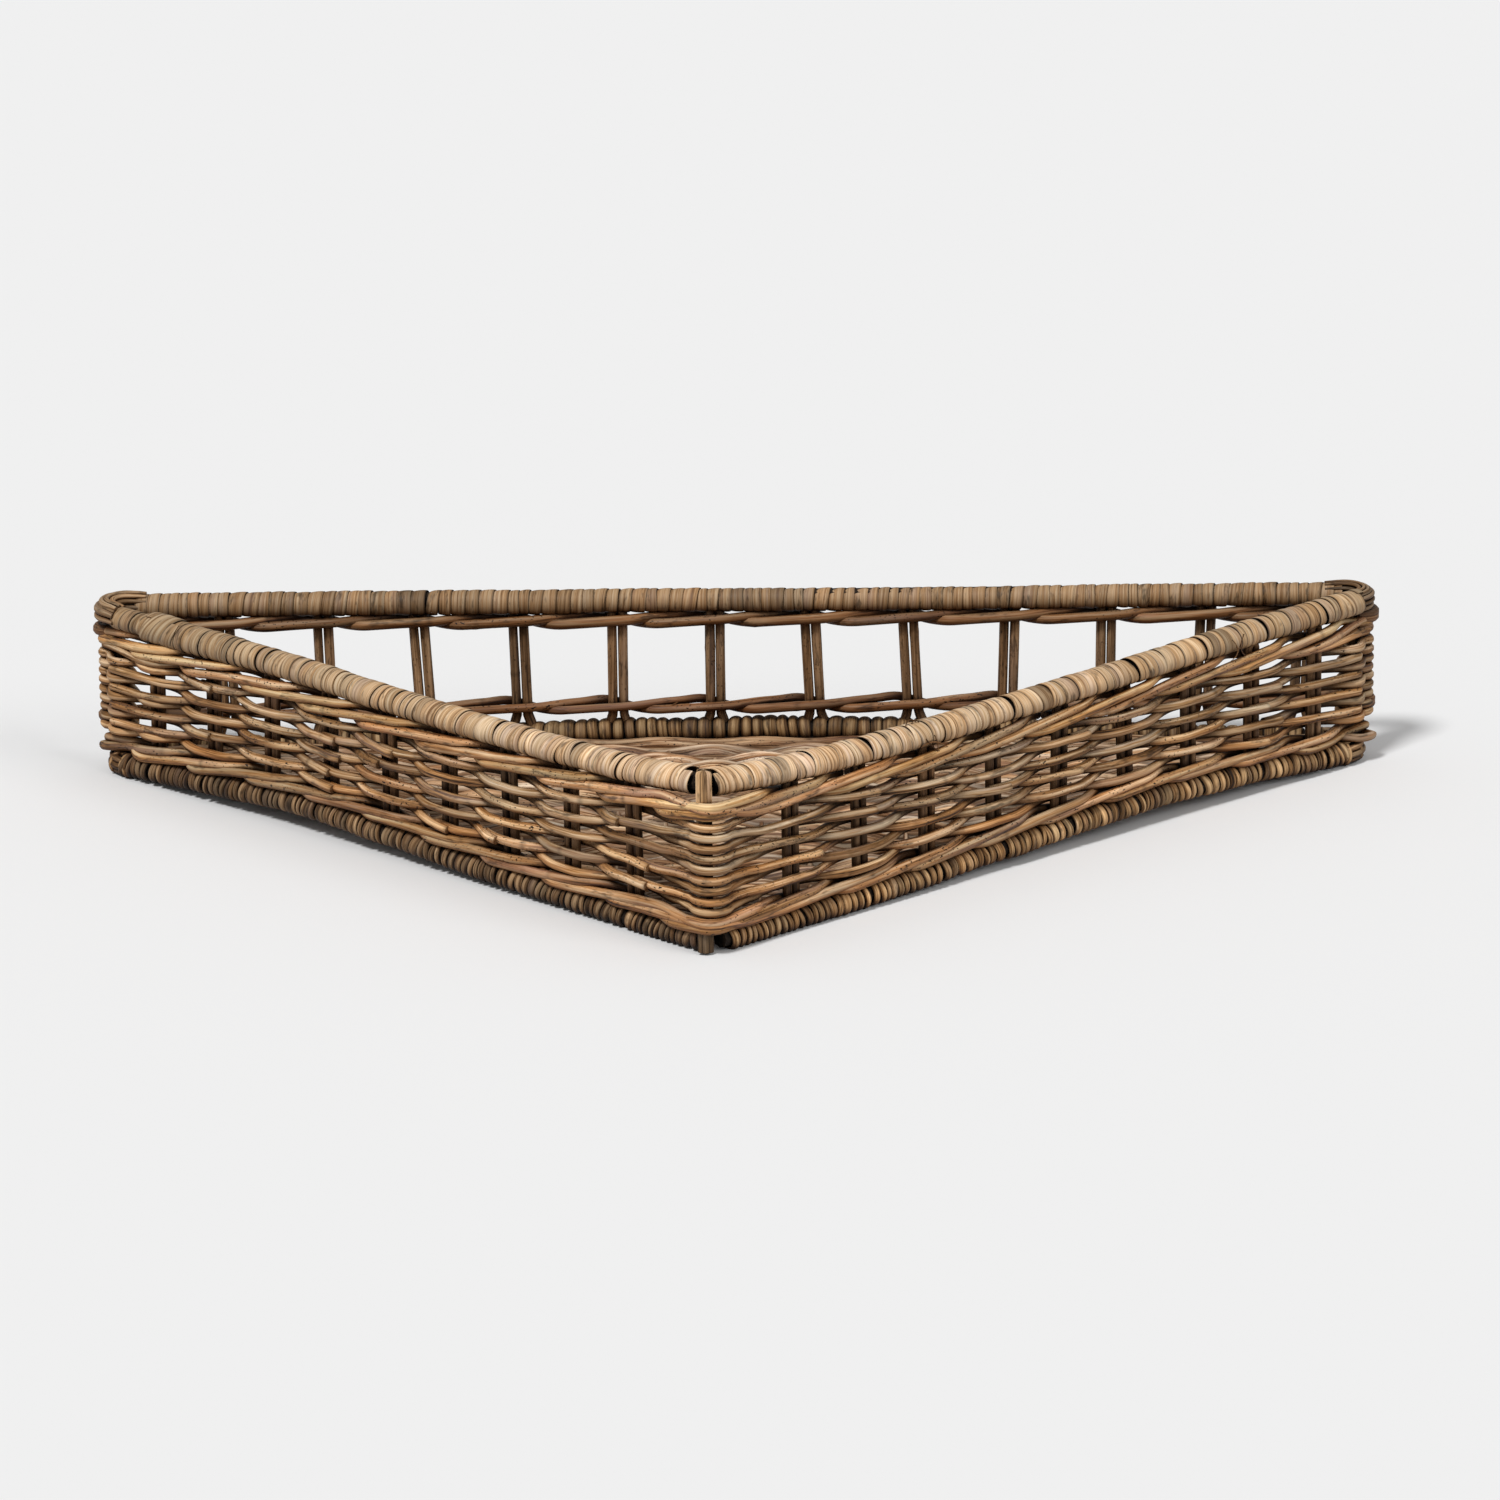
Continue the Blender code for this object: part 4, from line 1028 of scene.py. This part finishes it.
NEAR_POST_SHIFT = 3 * MM         # the post stands this far left of where the rails' lines meet
FRONT = -math.pi / 2
STRIP_TURNS = (-0.62, 0.0, 0.62, math.pi - 0.62, math.pi, math.pi + 0.62)     # three in front, three behind
STRIP_HALF_ANGLE = 0.29
STRIP_STAND = 0.8 * MM           # the strips lie this far out on the post
STRIP_THICK = 0.8 * MM
STRIP_BULGE = 0.12 * MM
SIDE_STRIP_SINK = 0.15 * MM      # further round from the front they lie a little deeper
FOLD_REACH = 5.2 * MM            # how far in they fold over the post's top
FOLD_RISE = 0.6 * MM
STRIP_TONE = (2.2, 2.3, 2.3)
STRIP_LIGHT_RUN = (30 * MM, 14 * MM)     # they are pale near the top and darker lower down, painted shade where the post shows between the rows, by their distance below it


def near_post():
    """The near corner's post, dressed in upright strips of cane that fold over its top."""
    skin = Skin("near_post_cane", "stake", 140)
    low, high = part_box("post_near")
    place = NEAR + vec(-NEAR_POST_SHIFT, 0)
    heights = np.linspace(low.z, high.z - 1.5 * MM, 40)
    skin.rod(place + UP * heights[:, None], POST_RADIUS - 0.9 * MM, (0.8, 0.72, 0.64),
             reference=vec(0, -1, 0), sides=14)
    across = np.linspace(-STRIP_HALF_ANGLE, STRIP_HALF_ANGLE, 6)
    around = np.concatenate((across, across[::-1]))
    face = STRIP_BULGE * (1 - (around / STRIP_HALF_ANGLE) ** 2) - np.repeat((0, STRIP_THICK), len(across))
    tops = np.linspace(low.z + 0.4 * MM, high.z - 1 * MM, 44)
    tops = np.concatenate((tops, np.full(6, high.z)))
    fold = np.concatenate((np.zeros(44), np.linspace(0.1, 1, 6)))
    rise = FOLD_RISE * np.sin(fold * np.pi)
    for turn in STRIP_TURNS:
        outer = POST_RADIUS + STRIP_STAND + SIDE_STRIP_SINK * (1 - abs(turn)) - fold * FOLD_REACH
        reach = outer[:, None] + face
        direction = FRONT + turn + around
        rings = np.stack((place[0] + np.cos(direction) * reach, place[1] + np.sin(direction) * reach,
                          np.broadcast_to((tops + rise)[:, None], reach.shape)), -1)
        grain = np.stack((np.broadcast_to(around * POST_RADIUS, reach.shape), np.zeros(reach.shape),
                          np.broadcast_to(tops[:, None], reach.shape)), -1)
        behind = turn > math.pi / 2
        level, lowest = (0.6, 0.7) if behind else (1, 0.2)
        tone = np.array(STRIP_TONE) * skin.rng.uniform(0.85, 1.1) * level
        # Painted shade: the strips darken below the top, where the rows cover the post
        shade = lowest + (1 - lowest) * rising(high.z - tops, *STRIP_LIGHT_RUN)
        skin.add(rings, grain, tone * shade[:, None, None])
    skin.finish("post_near")


# Loose strands round the far corners: how far outside the rail and above it they lie and their radius, in
# millimetres, and their shade
RIM_STRANDS = {
    "left": (
        (3.2, 5.2, 1.6, 0.5), (5.6, 1.5, 2.2, 0.42), (5.9, -2.4, 1.8, 0.36), (0.4, 6.2, 1.5, 0.55),
        (4.4, 3.6, 1.4, 0.36), (-2.6, 5.0, 1.7, 0.62), (-4.6, 2.6, 1.5, 0.34), (-5.2, -0.8, 1.7, 0.26),
    ),
    "right": (
        (2.4, 5.0, 1.1, 0.34), (5.0, 2.6, 1.3, 0.3), (5.4, -0.5, 1.1, 0.25), (4.6, -3.6, 1.3, 0.36),
        (0.2, 5.9, 1.0, 0.4), (3.9, 4.3, 0.8, 0.22), (-2.4, 5.2, 1.2, 0.36), (-4.4, 3.0, 1.2, 0.25),
        (-5.2, 0.2, 1.3, 0.2),
    ),
}
BASE_STRANDS = ((4.6, 3.4, 2.0, 0.9), (5.4, -0.4, 2.1, 0.75), (3.6, -3.6, 2.1, 0.7), (0.3, 5.2, 1.9, 0.85))
RIM_STRAND_DROPS = (0.6 * MM, 0.4 * MM)      # at the leg's end and at the open side's
RIM_STRAND_LIFT = 0.7 * MM                   # in the middle of the bend
RIM_STRAND_RUNS = (7 * MM, 9 * MM)           # past the bend along the leg and along the open side
BASE_STRAND_LIFT = 0.3 * MM
BASE_STRAND_RUNS = (5 * MM, 6 * MM)
STRAND_ENDS = (0.7, 0.7)
# Turns of cane round the base rail's bend
RING_SHARES = (0.12, 0.36, 0.58, 0.84)       # of the way round
RING_RUNS = (3 * MM, 14 * MM)
RING_REACH = BASE_RADIUS - 1.7 * MM
RING_SLIDE = 1.6 * MM
RING_RADIUS = 2 * MM
RING_LOWEST = 2.1 * MM


def arc_route(side, bend, heights, spread, lift, runs):
    """A strand's way round a far corner: along the leg, round the bend, and along the open side."""
    tip, toward_leg, toward_open, inward, half_angle = BENDS[side]
    centre = tip + inward * (bend / math.sin(half_angle))
    first = tip + toward_leg * bend_start(side, bend) - centre
    last = tip + toward_open * bend_start(side, bend) - centre
    start = math.atan2(first[1], first[0])
    sweep = (math.atan2(last[1], last[0]) - start + math.pi) % (2 * math.pi) - math.pi
    angle = start + sweep * np.linspace(0, 1, 16)
    arc = centre + (bend + spread) * np.stack((np.cos(angle), np.sin(angle), np.zeros(16)), -1)
    before = arc[0] + toward_leg * np.linspace(runs[0], 2 * MM, 8)[:, None]
    after = arc[-1] + toward_open * np.linspace(2 * MM, runs[1], 8)[:, None]
    route = np.concatenate((before, arc, after))
    share = np.linspace(0, 1, len(route))
    route[:, 2] = heights[0] + (heights[1] - heights[0]) * share + lift * np.sin(np.pi * share)
    return route


def base_rings(skin, side, rng):
    """Turns of cane round the base rail's bend."""
    rail = arc_route(side, BASE_BEND, (BASE_HEIGHT, BASE_HEIGHT), 0, 0, RING_RUNS)
    forward = unit(np.gradient(rail, axis=0))
    for share in RING_SHARES:
        spot = int(share * (len(rail) - 1))
        aside = np.cross(forward[spot], UP)
        angle = np.linspace(0, 2 * np.pi, 26) + rng.uniform(0, 6)
        reach = RING_REACH + 0.3 * MM * rng.uniform(-1, 1)
        slide = RING_SLIDE * (angle - angle.mean()) / np.pi
        around = aside * np.cos(angle)[:, None] + UP * np.sin(angle)[:, None]
        ring = rail[spot] + around * reach + forward[spot] * slide[:, None]
        ring[:, 2] = np.maximum(ring[:, 2], RING_LOWEST)
        tone = np.array((1.4, 1.3, 1.12)) * rng.uniform(0.75, 1.1)
        skin.rod(ring, RING_RADIUS, tone, reference=aside, under=(0.8, 0.8, 0.8))


def corner_bundles():
    """Loose strands laid round the far bends of the rim and of the base rail."""
    for side, seed in (("left", 150), ("right", 160)):
        skin = Skin("rim_corner_" + side, "rim_cane", seed)
        rng = skin.rng
        for spread, rise, thick, shade in RIM_STRANDS[side]:
            heights = [RIM_HEIGHT + rise * MM - drop for drop in RIM_STRAND_DROPS]
            route = arc_route(side, RIM_BEND, heights, spread * MM, RIM_STRAND_LIFT, RIM_STRAND_RUNS)
            skin.rod(route, thick * MM, np.array((1.0, 0.93, 0.84)) * shade, ends=STRAND_ENDS)
        skin.finish()
        skin = Skin("base_corner_" + side, "base_cane", seed + 5)
        for spread, rise, thick, shade in BASE_STRANDS:
            heights = (BASE_HEIGHT + rise * MM, BASE_HEIGHT + rise * MM)
            route = arc_route(side, BASE_BEND, heights, spread * MM, BASE_STRAND_LIFT, BASE_STRAND_RUNS)
            skin.rod(route, thick * MM, np.array((1.0, 0.95, 0.9)) * shade, ends=STRAND_ENDS)
        base_rings(skin, side, rng)
        skin.finish()


FLOOR_TOP = 5.5 * MM             # crests above the base rail's centre
FLOOR_WAVE = 2.3 * MM
FLOOR_WANDER = (7 * MM, 90 * MM)         # crests wander sideways: by how much, how long
FLOOR_BAND = 3                   # neighbouring rods that rise and fall together
FLOOR_RODS = 52
FLOOR_ROD = 2.9 * MM
FLOOR_STATION = 3.2 * MM
FLOOR_STICKS = 26 * MM
FLOOR_STICK_RADIUS = 1.5 * MM
FLOOR_STICK_INSET = 2 * MM       # sticks end this far inside the rods' ends
FLOOR_INSET = 7.7 * MM
FLOOR_BACK_RISE = 2.2 * MM
CALM_RODS = 4                    # the last rods lie calmer and higher
CALMNESS = 0.75
LAST_ROD_INSET = 0.8 * MM
BED_DROP = 0.6 * MM              # rods darkened with painted shade fill the gaps between bands from below


def floor_rise(x, y):
    """How far the floor's rods lie above their level: they rise with the legs, and a little at the back."""
    depth = (y - NEAR[1]) / (OPEN_Y - NEAR[1])
    back = FLOOR_BACK_RISE * bow((x - LEFT[0]) / WALLS["open"].length, 1 / 2) * depth ** 6
    return SIDE_ARCH * bow(depth, ARCH_PLACE_SHARE) + back


def floor_edge(side, y):
    """Where the floor ends beside a leg."""
    out = WALLS[side].out
    return NEAR[0] - (FLOOR_INSET + (y - NEAR[1]) * out[1]) / out[0]


def woven_floor():
    """The floor's rods, each over one stick and under the next, and the sticks between them."""
    skin = Skin("woven_floor", "floor", 170)
    rng = skin.rng
    low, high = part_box("floor_mat")
    level = BASE_HEIGHT + FLOOR_TOP - FLOOR_WAVE - FLOOR_ROD
    pitch = (high.y - low.y) / FLOOR_RODS
    for index in range(1, FLOOR_RODS + 1):
        y = low.y + pitch * index
        first, last = max(floor_edge("left", y), low.x), min(floor_edge("right", y), high.x)
        x = np.linspace(first, last, max(4, int((last - first) / FLOOR_STATION)))
        sense = 1 if index // FLOOR_BAND % 2 == 0 else -1
        wander = FLOOR_WANDER[0] * drift(x, FLOOR_WANDER[1], rng)
        calm = 1 - CALMNESS * rising(index, FLOOR_RODS - CALM_RODS, FLOOR_RODS)
        swing = FLOOR_WAVE * np.cos(np.pi * (x - NEAR[0] + wander) / FLOOR_STICKS) * sense * calm
        height = level + floor_rise(x, y) + swing + 0.15 * MM * drift(x, 30 * MM, rng)
        height = height + FLOOR_WAVE * (1 - calm)
        line = y - (LAST_ROD_INSET if index == FLOOR_RODS else 0) + 0.3 * MM * drift(x, 50 * MM, rng)
        tone = np.array(TONES[(index * 5) % len(TONES)]) * rng.uniform(0.88, 1.12)
        # Painted shade: a rod is darker where it dips under a stick and lighter where it rides over one
        shading = 0.34 + 0.66 * (swing / FLOOR_WAVE + 1) / 2
        skin.rod(np.stack((x, line, height), -1), FLOOR_ROD, tone, speck=float(index % 3 == 0),
                 shading=shading)
        if index % FLOOR_BAND == 0 and index < FLOOR_RODS:
            between = y - pitch / 2
            bed = level + floor_rise(x, between) - BED_DROP
            # Painted shade: these filler rods are darkened to 0.6 of their row's tone
            skin.rod(np.stack((x, np.full(len(x), between), bed), -1), FLOOR_ROD, tone * 0.6, sides=8)
    for step in range(-13, 14):
        x = NEAR[0] + step * FLOOR_STICKS
        y = np.arange(low.y, high.y, 5 * MM)
        y = y[(floor_edge("left", y) + FLOOR_STICK_INSET < x)
              & (floor_edge("right", y) - FLOOR_STICK_INSET > x)]
        if len(y) < 3:
            continue
        skin.rod(np.stack((np.full(len(y), x), y, level + floor_rise(x, y)), -1), FLOOR_STICK_RADIUS,
                 (0.6, 0.55, 0.5), sides=8)
    skin.finish("floor_mat")


# Loose fibres: the wall that carries them, how far out they lie in millimetres, and their points in the
# photograph's pixels
FIBRES = (
    ("right", 1.0, ((905, 733), (908, 721), (916, 722))),
    ("right", 1.0, ((911, 730), (914, 720), (921, 725))),
    ("right", 7.2, ((921, 748), (934, 742), (948, 747))),
    ("right", 7.2, ((934, 735), (938, 745), (936, 757))),
    ("right", 7.2, ((926, 739), (936, 749), (947, 753))),
    ("right", 7.2, ((1232, 640), (1238, 651), (1231, 661))),
    ("right", 7.2, ((1244, 634), (1241, 648), (1246, 656))),
    ("right", 5.6, ((836, 778), (846, 786), (857, 789))),
    ("open", -1.0, ((659, 600), (661, 594), (658, 589))),
    ("open", -1.0, ((662, 600), (664, 594), (665, 588.5))),
    ("open", -1.0, ((665, 600), (667, 595), (671, 590))),
    ("open", -1.0, ((383, 602), (395, 590), (409, 601))),
    ("open", -6.2, ((658, 713), (667, 708), (678, 702))),
)
FIBRE_RADIUS = 0.3 * MM
FIBRE_BELOW_TOP = 0.4 * MM       # none comes closer than this to the height of the open side's winding


def camera_axes():
    """The camera's place and its directions to the right, up and back."""
    turn, rise, roll = CAMERA_TURN, CAMERA_RISE, CAMERA_ROLL
    back = Vector((math.sin(turn) * math.cos(rise), -math.cos(turn) * math.cos(rise), math.sin(rise)))
    right = Vector((math.cos(turn), math.sin(turn), 0))
    up = back.cross(right)
    eye = right * AIM_ACROSS + up * AIM_UP + back * CAMERA_DISTANCE
    rolled_right = right * math.cos(roll) + up * math.sin(roll)
    rolled_up = up * math.cos(roll) - right * math.sin(roll)
    return eye, rolled_right, rolled_up, back


def seen_on(wall, across, down, offset):
    """Where a pixel of the photograph meets a wall's upright plane, as a point in space."""
    eye, right, up, back = camera_axes()
    reach = PIXELS_PER_METRE * CAMERA_DISTANCE
    ray = right * ((across - IMAGE_SIDE / 2) / reach) + up * ((IMAGE_SIDE / 2 - down) / reach) - back
    eye, ray = vec(*eye), vec(*ray)
    return eye + ray * ((offset - (eye - wall.start) @ wall.out) / (ray @ wall.out))


def stray_fibres():
    """Torn fibres that stand off the windings."""
    skin = Skin("stray_fibres", "stake", 180)
    share = np.linspace(0, 1, 12)[:, None]
    for name, offset, spots in FIBRES:
        first, bend, last = (seen_on(WALLS[name], across, down, offset * MM) for across, down in spots)
        bend = 2 * bend - (first + last) / 2
        route = first * (1 - share) ** 2 + bend * 2 * share * (1 - share) + last * share ** 2
        route[:, 2] = np.minimum(route[:, 2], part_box("rim_wrap_open")[1].z - FIBRE_BELOW_TOP)
        skin.rod(route, FIBRE_RADIUS, (1.2, 1.1, 0.9), sides=6, ends=(1.0, 0.4), knots=1000 * MM,
                 reference=vec(0.3, 1, 0.2))
    skin.finish()


def carried_over():
    """The rails' poles and the far posts keep their solids, in dark cane."""
    for name in ("rim_pole", "base_pole", "post_left", "post_right"):
        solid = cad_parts[name]
        shown = MATERIALS["pole" if name.endswith("pole") else "stake"].copy()
        shown.name = "plain_" + name
        tree = shown.node_tree
        place = tree.nodes.new("ShaderNodeTexCoord")
        for link in list(tree.links):
            if link.from_node.type != "ATTRIBUTE":
                continue
            if link.from_node.attribute_name == "grain":
                tree.links.new(place.outputs["Object"], link.to_socket)
            else:
                target = link.to_socket
                tree.links.remove(link)
                target.default_value = (0.5, 0.5, 0.5, 1) if target.type == "RGBA" else 0.5
        solid.data.materials.clear()
        solid.data.materials.append(shown)


def studio():
    """A white world, two lamps and a white floor."""
    world = bpy.data.worlds.new("studio")
    bpy.context.scene.world = world
    world.use_nodes = True
    tree = world.node_tree
    tree.nodes.clear()
    paths = tree.nodes.new("ShaderNodeLightPath")
    light = tree.nodes.new("ShaderNodeBackground")
    shown = tree.nodes.new("ShaderNodeBackground")
    joined = tree.nodes.new("ShaderNodeMixShader")
    out = tree.nodes.new("ShaderNodeOutputWorld")
    light.inputs["Color"].default_value = (1, 1, 1, 1)
    light.inputs["Strength"].default_value = WORLD_SHARE
    shown.inputs["Color"].default_value = (PALE, PALE, PALE, 1)
    tree.links.new(paths.outputs["Is Camera Ray"], joined.inputs[0])
    tree.links.new(light.outputs[0], joined.inputs[1])
    tree.links.new(shown.outputs[0], joined.inputs[2])
    tree.links.new(joined.outputs[0], out.inputs["Surface"])
    for number, (turn, height, share, angle) in enumerate(LAMP_SHARES):
        lamp = bpy.data.lights.new(f"lamp_{number}", "SUN")
        lamp.angle = math.radians(angle)
        turn, height = math.radians(turn), math.radians(height)
        lamp.energy = share * math.pi / math.sin(height)
        holder = bpy.data.objects.new(f"lamp_{number}", lamp)
        toward = Vector((math.sin(turn) * math.cos(height), -math.cos(turn) * math.cos(height),
                         math.sin(height)))
        holder.rotation_euler = toward.to_track_quat("Z", "Y").to_euler()
        bpy.context.scene.collection.objects.link(holder)
    mesh = bpy.data.meshes.new("studio_floor")
    half = GROUND_HALF
    mesh.from_pydata([(-half, -half, 0), (half, -half, 0), (half, half, 0), (-half, half, 0)], [],
                     [(0, 1, 2, 3)])
    ground = bpy.data.objects.new("studio_floor", mesh)
    bpy.context.scene.collection.objects.link(ground)
    finish = bpy.data.materials.new("studio_floor")
    finish.use_nodes = True
    shader = finish.node_tree.nodes["Principled BSDF"]
    shader.inputs["Base Color"].default_value = (PALE, PALE, PALE, 1)
    shader.inputs["Roughness"].default_value = 1
    shader.inputs["Specular IOR Level"].default_value = 0
    mesh.materials.append(finish)
    bpy.context.scene.view_settings.view_transform = "Standard"


def camera():
    eye, rolled_right, rolled_up, back = camera_axes()
    data = bpy.data.cameras.new("camera")
    data.sensor_width = SENSOR
    data.lens = SENSOR * PIXELS_PER_METRE * CAMERA_DISTANCE / IMAGE_SIDE
    data.clip_end = 100
    made = bpy.data.objects.new("camera", data)
    axes = Matrix((rolled_right, rolled_up, back)).transposed()
    made.matrix_world = Matrix.Translation(eye) @ axes.to_4x4()
    bpy.context.scene.collection.objects.link(made)
    bpy.context.scene.camera = made


camera()
studio()
carried_over()
rails()
weavers()
leg_wales()
open_wales()
stakes()
near_post()
corner_bundles()
woven_floor()
stray_fibres()
